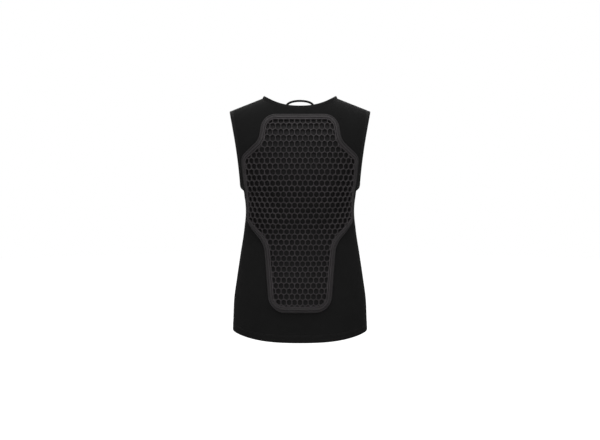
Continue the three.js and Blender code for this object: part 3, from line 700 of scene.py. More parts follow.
# %% The flat pattern
PAD_TOP = 0.0437
PAD_LENGTH = 0.487
PAD_HALF_TOP = 0.1015
PAD_HALF_WIDEST = 0.149
PAD_HALF_BOTTOM = 0.077
PAD_CLEARANCE = 0.0017
CORNER_COLUMNS = ("across", "down", "radius")
CORNER_ROWS = np.array([
    (0.905 * PAD_HALF_TOP, 0.0, 0.038),
    (1.0 * PAD_HALF_TOP, 0.128, 0.034),
    (1.0 * PAD_HALF_WIDEST, 0.211, 0.026),
    (0.975 * PAD_HALF_WIDEST, 0.540, 0.024),
    (1.17 * PAD_HALF_BOTTOM, 0.652, 0.060),
    (0.99 * PAD_HALF_BOTTOM, 1.0, 0.042),
])
CORNERS = dict(zip(CORNER_COLUMNS, CORNER_ROWS.T))
ARC_STEPS = 40
OUTLINE_POINTS = 720


def cross2(a, b):
    """The z part of the cross product of flat vectors."""
    return a[..., 0] * b[..., 1] - a[..., 1] * b[..., 0]


def pad_outline():
    """Even points of the outline and their inward directions: at each corner a round arc touches both runs,
    and the inward direction is its spoke, turned round where the corner is hollow."""
    down = -PAD_TOP - CORNERS["down"] * PAD_LENGTH
    right = np.stack([CORNERS["across"], down], axis=1)
    at = np.concatenate([right * [-1, 1], right[::-1]])
    radius = np.concatenate([CORNERS["radius"], CORNERS["radius"][::-1]])[:, None]
    before = unit(np.roll(at, 1, axis=0) - at)
    after = unit(np.roll(at, -1, axis=0) - at)
    half = np.arccos(np.clip((before * after).sum(axis=1), -1, 1))[:, None] / 2
    centre = at + unit(before + after) * radius / np.sin(half)
    start = at + before * radius / np.tan(half) - centre
    end = at + after * radius / np.tan(half) - centre
    turn = np.arctan2(cross2(start, end), (start * end).sum(axis=1))
    angle = turn[:, None] * np.linspace(0, 1, ARC_STEPS + 1)[None, :]
    c, s = np.cos(angle), np.sin(angle)
    x, y = start[:, :1], start[:, 1:]
    spokes = np.stack([c * x - s * y, s * x + c * y], axis=-1)
    convex = cross2(before, after) < 0
    inward = unit(spokes) * np.where(convex, -1, 1)[:, None, None]
    line = (centre[:, None] + spokes).reshape(-1, 2)
    inward = inward.reshape(-1, 2)
    length = path_lengths(line, closed=True)
    wanted = np.linspace(0, length[-1], OUTLINE_POINTS, endpoint=False)
    closed_line = np.concatenate([line, line[:1]])
    closed_inward = np.concatenate([inward, inward[:1]])
    even = [np.interp(wanted, length, closed_line[:, k]) for k in (0, 1)]
    even_inward = [np.interp(wanted, length, closed_inward[:, k]) for k in (0, 1)]
    return np.stack(even, axis=1), unit(np.stack(even_inward, axis=1))


outline, inward = pad_outline()
print("outline is", round(float(path_lengths(outline, closed=True)[-1]), 3), "m round")

# %% [markdown]
# The rim
#
# The rim is moulded foam rubber: a thin flange outside, a first ridge, a groove, and a higher crest inside.
# Its section is one closed line of inset and height, and the surface is that line carried round the outline
# and bent onto the back. A bevelled curve object could be made faster, but its section would not stay square
# to the cloth.

# %% Rim section and sweep
RIM_WIDTH = 0.013
RIM_HEIGHT = 0.0092
RIM_SHARP = np.radians(60)
RIM_COLUMNS = ("inset", "height")
RIM_ROWS = np.array([
    (0.000, 0.00),
    (0.000, 0.13),
    (0.020, 0.20),
    (0.070, 0.27),
    (0.130, 0.40),
    (0.180, 0.52),
    (0.235, 0.585),
    (0.300, 0.60),
    (0.355, 0.575),
    (0.400, 0.52),
    (0.440, 0.495),
    (0.485, 0.52),
    (0.540, 0.66),
    (0.595, 0.82),
    (0.655, 0.935),
    (0.720, 0.99),
    (0.790, 1.00),
    (0.860, 0.985),
    (0.920, 0.955),
    (0.965, 0.90),
    (0.992, 0.82),
    (1.000, 0.70),
    (1.000, 0.35),
    (1.000, 0.00),
])
RIM = dict(zip(RIM_COLUMNS, RIM_ROWS.T))


def bent(flat, height):
    """Points of a flat pattern, and heights above it, laid on the back along its normals."""
    point, normal = back_place(flat[..., 0], flat[..., 1])
    return point + normal * height[..., None]


def pad_rim():
    """The rim's grid: one row for each point of the section, one column for each point of the outline."""
    inset = RIM["inset"] * RIM_WIDTH
    flat = outline[None] + inward[None] * inset[:, None, None]
    lift = PAD_CLEARANCE + RIM["height"] * RIM_HEIGHT
    height = np.broadcast_to(lift[:, None], flat.shape[:2])
    points = bent(flat, height)
    faces, pairs = lattice_faces(*flat.shape[:2], wrap_rows=True, wrap_columns=True)
    around = path_lengths(outline, closed=True)
    profile = path_lengths(np.stack([inset, height[:, 0]], axis=1), closed=True)
    uv = np.stack([around[pairs[..., 1]], profile[pairs[..., 0]]], axis=-1)
    piece = build("pad_rim", points.reshape(-1, 3), [faces], [uv], RIM_SHARP)
    point_values(piece, "height", np.repeat(RIM["height"], len(outline)))
    return piece


rim_piece = pad_rim()

# %% [markdown]
# The honeycomb
#
# The comb has about five hundred upright six-sided cells, each closed at its foot by a web of the same foam.
# One cell is twelve points round its opening, with its corners cut so that they shade as round, and rings of
# faces: the top, a bevelled lip, the wall and the web. All cells are placed as one array, and the points
# that neighbours share are merged. The flat comb is then trimmed to the pattern with a Boolean modifier,
# joined to a border strip the same way, and bent onto the back.

# %% One cell and the field of cells
COMB_PITCH = 0.0130
COMB_ROW_PITCH = 0.0134
COMB_RISE = 0.0038
COMB_WALL = 0.0010
COMB_LIP = 0.0004
COMB_LIP_SLOPE = 0.7
COMB_DRAFT = 0.0006
COMB_THICKNESS = 0.0096
COMB_WEB = 0.0024
COMB_CENTRE_ROW = -0.0759
COMB_CORNER_CUT = 0.16
COMB_ROWS = np.arange(-4, 38)
COMB_COLUMNS = np.arange(-12, 13)
CELL_RINGS = {"lip": 6, "low": 18, "base": 30, "under": 42}


def hexagon(half_pitch, peak, flank):
    """Six corners of an upright cell, anticlockwise from the top."""
    return np.array([
        (0, peak),
        (-half_pitch, flank),
        (-half_pitch, -flank),
        (0, -peak),
        (half_pitch, -flank),
        (half_pitch, flank),
    ])


def inset_hexagon(inset):
    """The cell's hexagon with all six sides moved inwards by a distance."""
    half = COMB_PITCH / 2
    slant = np.hypot(1, COMB_RISE / half)
    peak = (COMB_ROW_PITCH + COMB_RISE) / 2 - inset * slant
    reach = half - inset
    return hexagon(reach, peak, peak - COMB_RISE / half * reach)


def cut_corners(corners):
    """Twelve points: each corner becomes two, moved along its sides by the same length."""
    before = np.roll(corners, 1, axis=0) - corners
    after = np.roll(corners, -1, axis=0) - corners
    cut = COMB_CORNER_CUT * np.linalg.norm(after[0])
    pair = np.stack([corners + unit(before) * cut, corners + unit(after) * cut], axis=1)
    return pair.reshape(-1, 2)


def cell_shape():
    """Points and faces of one cell: the shared hexagon above and below, three rings of twelve down the hole,
    and the web across it."""
    shared = inset_hexagon(0)
    lip_inset = COMB_WALL / 2 + COMB_LIP * COMB_LIP_SLOPE
    lip_top = cut_corners(inset_hexagon(COMB_WALL / 2))
    lip_low = cut_corners(inset_hexagon(lip_inset))
    foot = cut_corners(inset_hexagon(lip_inset + COMB_DRAFT))
    layers = [
        (shared, COMB_THICKNESS),
        (lip_top, COMB_THICKNESS),
        (lip_low, COMB_THICKNESS - COMB_LIP),
        (foot, COMB_WEB),
        (shared, 0.0),
    ]
    points = np.concatenate([np.column_stack([ring, np.full(len(ring), z)]) for ring, z in layers])
    k = np.arange(len(foot))
    n = (k + 1) % len(foot)
    c = np.arange(len(shared))
    d = (c + 1) % len(shared)
    lip, low, base, under = CELL_RINGS.values()
    strips = [
        np.stack([c, lip + 2 * c + 1, lip + 2 * d, d], axis=1),
        np.stack([lip + k, low + k, low + n, lip + n], axis=1),
        np.stack([low + k, base + k, base + n, low + n], axis=1),
        fan_cap(list(base + k[::-1]))[0],
        fan_cap(list(under + c))[0],
    ]
    corners = np.stack([c, lip + 2 * c, lip + 2 * c + 1], axis=1)
    return points, np.concatenate(strips), corners


def inside_outline(points, border):
    """True where a flat point lies inside a closed outline, by counting the crossings of a ray along x."""
    a, b = border, np.roll(border, -1, axis=0)
    y = points[:, None, 1]
    spans = (a[None, :, 1] > y) != (b[None, :, 1] > y)
    run = np.where(a[:, 1] == b[:, 1], 1, b[:, 1] - a[:, 1])
    cross_x = a[None, :, 0] + (y - a[None, :, 1]) * ((b[:, 0] - a[:, 0]) / run)[None]
    return (spans & (points[:, None, 0] < cross_x)).sum(axis=1) % 2 == 1


def cell_centres():
    """Centres of all cells that reach the pad, in rows that are shifted by half a cell in turn."""
    x = COMB_COLUMNS[None, :] * COMB_PITCH + np.where(COMB_ROWS % 2, COMB_PITCH / 2, 0)[:, None]
    z = np.broadcast_to((COMB_CENTRE_ROW - COMB_ROWS * COMB_ROW_PITCH)[:, None], x.shape)
    centres = np.stack([x.ravel(), z.ravel()], axis=1)
    return centres[inside_outline(centres, outline)]


# %% Merging the cells into one closed flat comb
MICRONS = 6


def flat_comb():
    """Points and faces of the whole field: cells placed as one array, shared corners merged, and an upright
    face on each side that no neighbour shares."""
    centres = cell_centres()
    shape, quads, triangles = cell_shape()
    place = np.column_stack([centres, np.zeros(len(centres))])
    points = (place[:, None] + shape[None]).reshape(-1, 3)
    first = (np.arange(len(centres)) * len(shape))[:, None, None]
    quads = (quads[None] + first).reshape(-1, 4)
    triangles = (triangles[None] + first).reshape(-1, 3)
    _, keep, merged = np.unique(np.round(points, MICRONS), axis=0, return_index=True, return_inverse=True)
    merged = merged.ravel()
    corner = np.arange(CELL_RINGS["lip"])[None] + first[:, 0]
    side = np.stack([corner, np.roll(corner, -1, axis=1)], axis=-1).reshape(-1, 2)
    top, bottom = merged[side], merged[side + CELL_RINGS["under"]]
    ends = np.sort(top, axis=1)
    _, which, counts = np.unique(ends, axis=0, return_inverse=True, return_counts=True)
    alone = counts[which.ravel()] == 1
    sides = np.stack([top[alone, 0], top[alone, 1], bottom[alone, 1], bottom[alone, 0]], axis=1)
    return points[keep], [merged[quads], sides, merged[triangles]], len(centres)


comb_points, comb_faces, cell_count = flat_comb()
print(cell_count, "cells before trimming")


# %% Trimming and bordering the comb
CORE_GAP = 0.0008
CORE_BORDER = 0.0024
TRIM_LOW = -0.01
TRIM_HIGH = 0.03
BORDER_COLUMNS = ("inset", "height")
BORDER_ROWS = np.array([
    (0.00, 0.000),
    (0.00, 0.940),
    (0.12, 0.990),
    (0.40, 1.012),
    (0.70, 1.012),
    (0.92, 0.990),
    (1.00, 0.940),
    (1.00, 0.000),
])
BORDER = dict(zip(BORDER_COLUMNS, BORDER_ROWS.T))


def closed_strip(name, ring_insets, ring_heights):
    """A strip round the flat pattern: a closed section of insets and heights carried round the outline."""
    flat = outline[None] + inward[None] * ring_insets[:, None, None]
    height = np.broadcast_to(ring_heights[:, None, None], (*flat.shape[:2], 1))
    points = np.concatenate([flat, height], axis=-1)
    faces, _ = lattice_faces(*flat.shape[:2], wrap_rows=True, wrap_columns=True)
    return build(name, points.reshape(-1, 3), [faces])


def flat_prism(name, inset, low, high):
    """A flat-ended block whose outline is the pad's, moved inwards."""
    ring = outline[::2] + inward[::2] * inset
    count = len(ring)
    points = np.concatenate([np.column_stack([ring, np.full(count, z)]) for z in (low, high)])
    k = np.arange(count)
    n = (k + 1) % count
    sides = np.stack([k, n, n + count, k + count], axis=1)
    return build(name, points, [sides, k[None, ::-1], k[None] + count])


def boolean(piece, other, operation):
    """Applies one Boolean modifier to a piece and deletes the other object."""
    modifier = piece.modifiers.new(operation.lower(), "BOOLEAN")
    modifier.operation = operation
    modifier.solver = "MANIFOLD"
    modifier.object = other
    bpy.context.view_layer.update()
    evaluated = piece.evaluated_get(bpy.context.evaluated_depsgraph_get())
    result = bpy.data.meshes.new_from_object(evaluated)
    piece.modifiers.clear()
    piece.data = result
    bpy.data.objects.remove(other)


def honeycomb():
    """The comb: trimmed to the middle of its border, joined to the border, then bent onto the back."""
    inset = RIM_WIDTH + CORE_GAP
    piece = build("pad_honeycomb", comb_points, comb_faces)
    boolean(piece, flat_prism("trim", inset + CORE_BORDER / 2, TRIM_LOW, TRIM_HIGH), "INTERSECT")
    insets, heights = inset + CORE_BORDER * BORDER["inset"], COMB_THICKNESS * BORDER["height"]
    boolean(piece, closed_strip("border", insets, heights), "UNION")
    mesh = piece.data
    flat = np.empty(len(mesh.vertices) * 3, np.float32)
    mesh.vertices.foreach_get("co", flat)
    flat = flat.reshape(-1, 3).astype(float)
    points = bent(flat[:, :2], PAD_CLEARANCE + flat[:, 2])
    mesh.vertices.foreach_set("co", points.astype(np.float32).ravel())
    mesh.update()
    mesh.shade_smooth()
    mesh.set_sharp_from_angle(angle=MAKE_SHARP)
    point_values(piece, "height", flat[:, 2] / COMB_THICKNESS)
    triangles = sum(len(p.vertices) - 2 for p in mesh.polygons)
    print("pad_honeycomb", len(mesh.vertices), "points", triangles, "triangles")
    return piece


comb_piece = honeycomb()

# %% [markdown]
# The zip
#
# The photograph shows the back only. A vest that fits this closely needs an opening, so one plain centre zip
# is made in the front: two woven tapes with a beaded edge, moulded teeth that mesh in turn, a slider with
# its pull, and the stops. Teeth are one small shape, copied as an array along the line of the chest.

# %% The zip's line and its tapes
ZIP_TAPE = 0.0016
ZIP_CHAIN_HEIGHT = 0.0020
ZIP_REACH = 0.8
ZIP_TOP = -NECK_DROP_FRONT + NECK_BAND_HEIGHT * ZIP_REACH
ZIP_LINES = 150
ZIP_TAPE_SECTION = np.array([
    (0.0009, 0.0004),
    (0.0009, 0.0012),
    (0.0014, 0.0019),
    (0.0024, 0.0020),
    (0.0031, 0.0016),
    (0.0040, 0.0013),
    (0.0112, 0.0013),
    (0.0118, 0.0010),
    (0.0118, 0.0003),
    (0.0112, 0.0001),
    (0.0040, 0.0001),
])


def zip_frames(z):
    """Frames down the centre front: the tape lies a seam's gap above the inner side of the cloth, and up is
    square to the chest's line in the plane of symmetry."""
    def line(height):
        clipped = np.minimum(height, -NECK_DROP_FRONT)
        return depth_over(FRONT, np.full_like(height, FRONT.start), clipped)
    z = np.asarray(z, float)
    rise = (line(z + EDGE_STEP) - line(z - EDGE_STEP)) / (2 * EDGE_STEP)
    along = unit(np.stack([np.zeros_like(z), rise, np.ones_like(z)], axis=1))
    across = np.broadcast_to(SIDEWAYS, along.shape)
    up = np.stack([np.zeros_like(z), along[:, 2], -along[:, 1]], axis=1)
    origin = np.stack([np.zeros_like(z), line(z) - CLOTH + SEAM_GAP, z], axis=1)
    return origin, across, up


def zip_tape(hand):
    """One half of the tape: flat, with a bead along the edge that carries the teeth."""
    frames = zip_frames(np.linspace(-TORSO_LENGTH, ZIP_TOP, ZIP_LINES))
    name = "zip_tape_right" if hand > 0 else "zip_tape_left"
    return sweep(name, frames, ZIP_TAPE_SECTION * [hand, 1], False)


tapes = [zip_tape(1), zip_tape(-1)]


# %% Copies of a small shape
def copies(name, shape, faces, frames):
    """One mesh of a shape's copies: each point of the shape is carried to every frame of origin and three
    axes."""
    origin, *axes = frames
    points = origin[:, None] + sum(axis[:, None] * shape[None, :, k, None] for k, axis in enumerate(axes))
    first = (np.arange(len(origin)) * len(shape))[:, None, None]
    blocks = [(block[None] + first).reshape(-1, block.shape[1]) for block in faces]
    return build(name, points.reshape(-1, 3), blocks)


def stacked_rings(rings):
    """Closed shape through rings with the same number of points, its ends closed by fans."""
    count = len(rings[0])
    faces, _ = lattice_faces(len(rings), count, wrap_columns=True)
    ends = [list(range(count)), [(len(rings) - 1) * count + k for k in range(count)][::-1]]
    caps = [fan_cap(ring) for ring in ends]
    quads = np.concatenate([faces] + [quad for quad, _ in caps])
    triangles = np.concatenate([triangle for _, triangle in caps])
    return np.concatenate(rings), [quads] + ([triangles] if len(triangles) else [])


def raised(outline_points, heights, insets):
    """Rings of one flat outline at some heights, each pulled towards the outline's middle by a share."""
    middle = outline_points.mean(axis=0)
    count = len(outline_points)
    return [np.column_stack([middle + (outline_points - middle) * (1 - share), np.full(count, height)])
            for height, share in zip(heights, insets)]


def squared(wave, power):
    """A sine or cosine raised to a power with its sign kept, which makes a circle squarer."""
    return np.sign(wave) * np.abs(wave) ** power


# %% Teeth and stops
TOOTH_PITCH = 0.0025
TOOTH_LENGTH = 0.0042
TOOTH_HEAD = 0.0011
TOOTH_WAIST = 0.00050
TOOTH_HALF = 0.00078
TOOTH_FLANK = 0.9 * TOOTH_HALF
TOOTH_PLAN = [
    (-TOOTH_HEAD, 0.5 * TOOTH_HALF),
    (-0.4 * TOOTH_HEAD, TOOTH_HALF),
    (0.0006, TOOTH_WAIST),
    (0.0011, TOOTH_FLANK),
    (TOOTH_LENGTH - TOOTH_HEAD, TOOTH_FLANK),
]
TOOTH_TOP = ZIP_TAPE + ZIP_CHAIN_HEIGHT
TOOTH_HEIGHTS = (0.0003, 0.0006, TOOTH_TOP - 0.0004, TOOTH_TOP)
TOOTH_INSETS = (0.12, 0.0, 0.02, 0.22)
FIRST_TOOTH = 0.006
LAST_TOOTH = 0.010
BLOCK_CORNERS = 24
BLOCK_POWER = 0.45
BLOCK_EDGE = 0.3
BLOCK_INSETS = (0.06, 0.0, 0.0, 0.08, 0.25)
STOP_BLOCK = {"width": 0.0026, "length": 0.0042, "low": 0.0002, "rise": 0.0019, "soft": 0.0004}
BOX_BLOCK = {"width": 0.0078, "length": 0.0085, "low": 0.0001, "rise": 0.0020, "soft": 0.0005}
STOP_OFFSET = 0.0021
STOP_BELOW_TOP = 0.0045
BOX_ABOVE_HEM = 0.0048


def tooth_shape():
    """A moulded tooth in plan: a body over the bead, a waist and a head that reaches past the centre
    line."""
    plan = np.array(TOOTH_PLAN + [(x, -y) for x, y in TOOTH_PLAN[::-1]])
    return stacked_rings(raised(plan, TOOTH_HEIGHTS, TOOTH_INSETS))


def zip_teeth():
    """Teeth of both tapes, those of the left half a pitch lower."""
    shape, faces = tooth_shape()
    right = np.arange(-TORSO_LENGTH + FIRST_TOOTH, ZIP_TOP - LAST_TOOTH, TOOTH_PITCH)
    left = right + TOOTH_PITCH / 2
    origin, across, up = zip_frames(np.concatenate([right, left]))
    hand = np.concatenate([np.ones(len(right)), -np.ones(len(left))])[:, None]
    along = np.cross(up, across)
    return copies("zip_teeth", shape, faces, (origin, across * hand, along * hand, up))


def block_rings(width, length, low, rise, soft):
    """Rings of a block with rounded corners in plan and a softened top."""
    angle = np.linspace(0, 2 * np.pi, BLOCK_CORNERS, endpoint=False) + np.pi / BLOCK_CORNERS
    plan = np.stack([
        squared(np.cos(angle), BLOCK_POWER) * width / 2,
        squared(np.sin(angle), BLOCK_POWER) * length / 2,
    ], axis=1)
    high = ZIP_TAPE + rise
    heights = (low, low + soft, high - soft, high - soft * BLOCK_EDGE, high)
    return raised(plan, heights, BLOCK_INSETS)


def zip_stops():
    """Two stops above the chain, and the box that ends it at the hem."""
    shape, faces = stacked_rings(block_rings(**STOP_BLOCK))
    origin, across, up = zip_frames(np.full(2, ZIP_TOP - STOP_BELOW_TOP))
    origin = origin + across * np.array([[STOP_OFFSET], [-STOP_OFFSET]])
    stops = (origin, across, np.cross(up, across), up)
    box_shape, _ = stacked_rings(block_rings(**BOX_BLOCK))
    box_origin, box_across, box_up = zip_frames(np.full(1, -TORSO_LENGTH + BOX_ABOVE_HEM))
    box = (box_origin, box_across, np.cross(box_up, box_across), box_up)
    return [copies("zip_stops", shape, faces, stops), copies("zip_box", box_shape, faces, box)]


teeth = zip_teeth()
stops, zip_box = zip_stops()

# %% Slider and pull
SLIDER_LENGTH = 0.013
SLIDER_WIDTH = 0.009
SLIDER_DEPTH = 0.0034
SLIDER_CORNERS = 40
SLIDER_FOOT = 0.86
SLIDER_END_POWER = 0.7
SLIDER_SIDE_POWER = 0.6
SLIDER_LOW = ZIP_TAPE + ZIP_CHAIN_HEIGHT - 0.0012
SLIDER_TOP = SLIDER_LOW + SLIDER_DEPTH
SLIDER_HEIGHTS = (SLIDER_LOW, SLIDER_LOW + 0.0004, SLIDER_TOP - 0.0009, SLIDER_TOP - 0.0002, SLIDER_TOP)
SLIDER_INSETS = (0.1, 0.0, 0.0, 0.12, 0.30)
BRIDGE_HALF_LENGTH = 0.0042
BRIDGE_RISE = 0.0026
BRIDGE_LINES = 21
BRIDGE_SEAT = ZIP_TAPE + ZIP_CHAIN_HEIGHT + SLIDER_DEPTH - 0.0018
BRIDGE_SECTION = np.array([
    (-0.0010, -0.0004),
    (-0.0010, 0.0002),
    (-0.0007, 0.0004),
    (0.0007, 0.0004),
    (0.0010, 0.0002),
    (0.0010, -0.0004),
])
PULL_LENGTH = 0.024
PULL_WIDTH = 0.0055
PULL_THICKNESS = 0.0016
PULL_CORNERS = 64
PULL_POWER = 0.55
PULL_TAPER = 0.16
PULL_NECK = -0.6
PULL_NECK_GAIN = 0.06
EYE_HALF_WIDTH = 0.0014
EYE_HALF_LENGTH = 0.0021
EYE_BELOW_END = 0.0034
PULL_SEAT = ZIP_TAPE + ZIP_CHAIN_HEIGHT + SLIDER_DEPTH - 0.0002
PULL_ABOVE_MIDDLE = 0.003
PULL_RING_COLUMNS = ("towards_eye", "lift")
PULL_RING_ROWS = np.array([
    (0.00, -0.50),
    (0.00, 0.50),
    (0.03, 0.85),
    (0.10, 1.00),
    (0.90, 1.00),
    (0.97, 0.85),
    (1.00, 0.50),
    (1.00, -0.50),
    (0.97, -0.85),
    (0.90, -1.00),
    (0.10, -1.00),
    (0.03, -0.85),
])
PULL_RING = dict(zip(PULL_RING_COLUMNS, PULL_RING_ROWS.T))


def slider_frame():
    """The one frame of the slider: on the zip's line, its length below the top of the tape."""
    origin, across, up = zip_frames(np.full(1, ZIP_TOP - SLIDER_LENGTH))
    return origin, across, np.cross(up, across), up


def zip_slider():
    """Slider body: a shield in plan, wide at its shoulders, with softened edges."""
    angle = np.linspace(0, 2 * np.pi, SLIDER_CORNERS, endpoint=False)
    reach = squared(np.sin(angle), SLIDER_END_POWER)
    width = SLIDER_WIDTH / 2 * (SLIDER_FOOT + (1 - SLIDER_FOOT) * reach)
    plan = np.stack([
        squared(np.cos(angle), SLIDER_SIDE_POWER) * width,
        reach * SLIDER_LENGTH / 2,
    ], axis=1)
    body, faces = stacked_rings(raised(plan, SLIDER_HEIGHTS, SLIDER_INSETS))
    return copies("zip_slider", body, faces, slider_frame())


def zip_bridge():
    """The arch that holds the pull: a flat strap section carried along half an ellipse over the slider."""
    angle = np.linspace(0, np.pi, BRIDGE_LINES)
    c, s = np.cos(angle)[:, None], np.sin(angle)[:, None]
    origin, across, along, up = slider_frame()
    path = origin + along * (BRIDGE_HALF_LENGTH * c) + up * (BRIDGE_SEAT + BRIDGE_RISE * s)
    outwards = unit(along * (BRIDGE_RISE * c) + up * (BRIDGE_HALF_LENGTH * s))
    frames = (path, np.broadcast_to(across, path.shape), outwards)
    return sweep("zip_bridge", frames, BRIDGE_SECTION, False)


def zip_pull():
    """The pull: a flat tab with an eye. Its ring runs from the tab's edge over both sides to the edge of the
    eye."""
    angle = np.linspace(0, 2 * np.pi, PULL_CORNERS, endpoint=False)
    half = PULL_LENGTH / 2
    reach = squared(np.sin(angle), PULL_POWER)
    neck = reach <= PULL_NECK
    taper = 1 - PULL_TAPER * (1 - reach) / 2 * ~neck + PULL_NECK_GAIN * neck
    outer = np.stack([
        squared(np.cos(angle), PULL_POWER) * PULL_WIDTH / 2 * taper,
        reach * half - half,
    ], axis=1)
    eye = np.stack([
        EYE_HALF_WIDTH * np.cos(angle),
        EYE_HALF_LENGTH * np.sin(angle) - EYE_BELOW_END,
    ], axis=1)
    mix, lift = PULL_RING["towards_eye"], PULL_RING["lift"] * PULL_THICKNESS / 2
    flat = outer[None] * (1 - mix)[:, None, None] + eye[None] * mix[:, None, None]
    height = np.broadcast_to(lift[:, None, None], (*flat.shape[:2], 1))
    shape = np.concatenate([flat, height], axis=-1).reshape(-1, 3)
    faces, _ = lattice_faces(len(mix), len(angle), wrap_rows=True, wrap_columns=True)
    origin, across, along, up = slider_frame()
    seat = origin + up * PULL_SEAT + along * PULL_ABOVE_MIDDLE
    return copies("zip_pull", shape, [faces], (seat, across, along, up))


slider, bridge, pull = zip_slider(), zip_bridge(), zip_pull()

# %% [markdown]
# The hang loop
#
# A thin braided cord stands as a low arch over the back of the neck. Its ends are tucked down inside the
# neck binding and sewn there, so it is a fixed loop and not a free cord. The path is the one the frame has,
# smoothed, and the braid is real relief: two families of helices, and the higher of the two at every point
# of the tube.

# %% Path and braid of the hang loop
LOOP_HALF_WIDTH = 0.0325
LOOP_RISE = 0.0118
LOOP_TUCK = 0.008
LOOP_CORD_RADIUS = 0.0027
LOOP_ARC_POINTS = 25
LOOP_AVERAGINGS = 24
LOOP_RINGS = 330
LOOP_SIDES = 32
BRAID_LAY = 0.0052
BRAID_STRANDS = 4
BRAID_RELIEF = 0.00022


def loop_seat(height):
    """Middle of the cord at a height up the inner face of the neck binding, on the right."""
    origin, across, up = neck_path
    behind = (origin[:, 1] < 0) & (origin[:, 0] > 0)
    order = np.argsort(origin[behind, 0])
    x = origin[behind, 0][order]

    def take(part):
        return np.array([np.interp(LOOP_HALF_WIDTH, x, part[behind][order][:, k]) for k in range(3)])

    clear = BAND_THICKNESS / 2 + 2 * SEAM_GAP + LOOP_CORD_RADIUS
    return take(origin) + take(across) * height - take(up) * clear


def loop_path():
    """Even points of the loop: two legs up the binding and a half ellipse, blended by repeated averaging of
    each point with its neighbours."""
    heights = (NECK_BAND_HEIGHT - LOOP_TUCK, NECK_BAND_HEIGHT - LOOP_TUCK / 2)
    leg = np.array([loop_seat(height) for height in heights])
    leg[:, 0] = LOOP_HALF_WIDTH
    top = loop_seat(NECK_BAND_HEIGHT)
    angle = np.linspace(0, np.pi, LOOP_ARC_POINTS)
    arc = np.stack([LOOP_HALF_WIDTH * np.cos(angle), np.full_like(angle, top[1]),
                    top[2] + LOOP_RISE * np.sin(angle)], axis=1)
    rough = np.concatenate([leg, arc, leg[::-1] * MIRROR])
    length = path_lengths(rough)
    even = np.linspace(0, length[-1], LOOP_RINGS)
    path = np.stack([np.interp(even, length, rough[:, k]) for k in range(3)], axis=1)
    for _ in range(LOOP_AVERAGINGS):
        path[1:-1] = (path[:-2] + 2 * path[1:-1] + path[2:]) / 4
    return path


def hang_loop():
    """The braided tube: its radius is the mean radius plus the higher of two families of helices."""
    path = loop_path()
    tangent = tangents(path)
    side = unit(np.cross(tangent, FORWARDS))
    other = np.cross(tangent, side)
    angle = np.linspace(0, 2 * np.pi, LOOP_SIDES, endpoint=False)
    along = path_lengths(path)[:, None] / BRAID_LAY * 2 * np.pi
    one = np.cos(BRAID_STRANDS * (angle[None] + along / 2))
    two = np.cos(BRAID_STRANDS * (angle[None] - along / 2))
    crown = np.maximum(one, two)
    radius = LOOP_CORD_RADIUS - BRAID_RELIEF / 2 + BRAID_RELIEF * crown
    spoke = side[:, None] * np.cos(angle)[None, :, None]
    spoke = spoke + other[:, None] * np.sin(angle)[None, :, None]
    points = path[:, None] + spoke * radius[..., None]
    faces, pairs = lattice_faces(LOOP_RINGS, LOOP_SIDES, wrap_columns=True)
    first = list(range(LOOP_SIDES))
    last = [(LOOP_RINGS - 1) * LOOP_SIDES + k for k in first]
    blocks = [faces] + [fan_cap(ring)[0] for ring in (first, last[::-1])]
    uvs = [np.stack([path_lengths(path)[pairs[..., 0]], pairs[..., 1] / LOOP_SIDES], axis=-1)]
    uvs += [np.zeros((*block.shape, 2)) for block in blocks[1:]]
    piece = build("hang_loop_cord", points.reshape(-1, 3), blocks, uvs)
    point_values(piece, "crown", crown.ravel())
    return piece


loop_piece = hang_loop()

# %% [markdown]
# Seams and stitches
#
# Flat seams join the panels at the sides and shoulders: a low double ridge, crossed by the ladder of thread
# that holds it. The hem has two rows of straight stitches, and each binding one row on both of its faces. A
# stitch is one short arc of thread, made once and copied as an array to even places along a line on the
# cloth.

# %% Flat seams
SEAM_SECTION = np.array([
    (-0.0030, -0.0005),
    (-0.0030, 0.0000),
    (-0.0026, 0.0003),
    (-0.0015, 0.00045),
    (-0.0004, 0.0004),
    (0.0, 0.0003),
    (0.0004, 0.0004),
    (0.0015, 0.00045),
    (0.0026, 0.0003),
    (0.0030, 0.0000),
    (0.0030, -0.0005),
])
SEAM_SHARP = np.radians(70)
SIDE_SEAM_LINES = 120
SIDE_SEAM_MARGIN = 0.002
SHOULDER_SEAM_LINES = 40
SHOULDER_SEAM_MARGIN = 0.0006


def seam_frames(back_column, front_column, row, hand):
    """Frames along a seam between the back and the front: across is the Y axis, up is the cloth's normal."""
    back, normal = cloth_place(BACK, back_column, row, hand)
    front, _ = cloth_place(FRONT, front_column, row, hand)
    origin = (back + front) / 2
    return origin, np.broadcast_to(FORWARDS, origin.shape), normal


def side_frames(hand):
    """Down the side, from just above the hem to just below the binding of the armhole."""
    row = np.linspace(SIDE_SEAM_MARGIN, 1 - SIDE_SEAM_MARGIN, SIDE_SEAM_LINES)
    column = np.ones_like(row)
    return seam_frames(column, column, row, hand)


def shoulder_frames(hand):
    """Along the shoulder. The columns of both panels end at the same x, so each is worked out from x."""
    x = np.linspace(NECK_HALF_WIDTH, SHOULDER_HALF_WIDTH - SHOULDER_SEAM_MARGIN, SHOULDER_SEAM_LINES)
    back_column, front_column = [(x - face.start) / (SHOULDER_HALF_WIDTH - face.start)
                                 for face in (BACK, FRONT)]
    return seam_frames(back_column, front_column, np.full_like(x, 2), hand)


seam_paths = {
    "side_seam_right": side_frames(1),
    "side_seam_left": side_frames(-1),
    "shoulder_seam_right": shoulder_frames(1),
    "shoulder_seam_left": shoulder_frames(-1),
}
seams = [sweep(name, path, SEAM_SECTION, False, SEAM_SHARP) for name, path in seam_paths.items()]

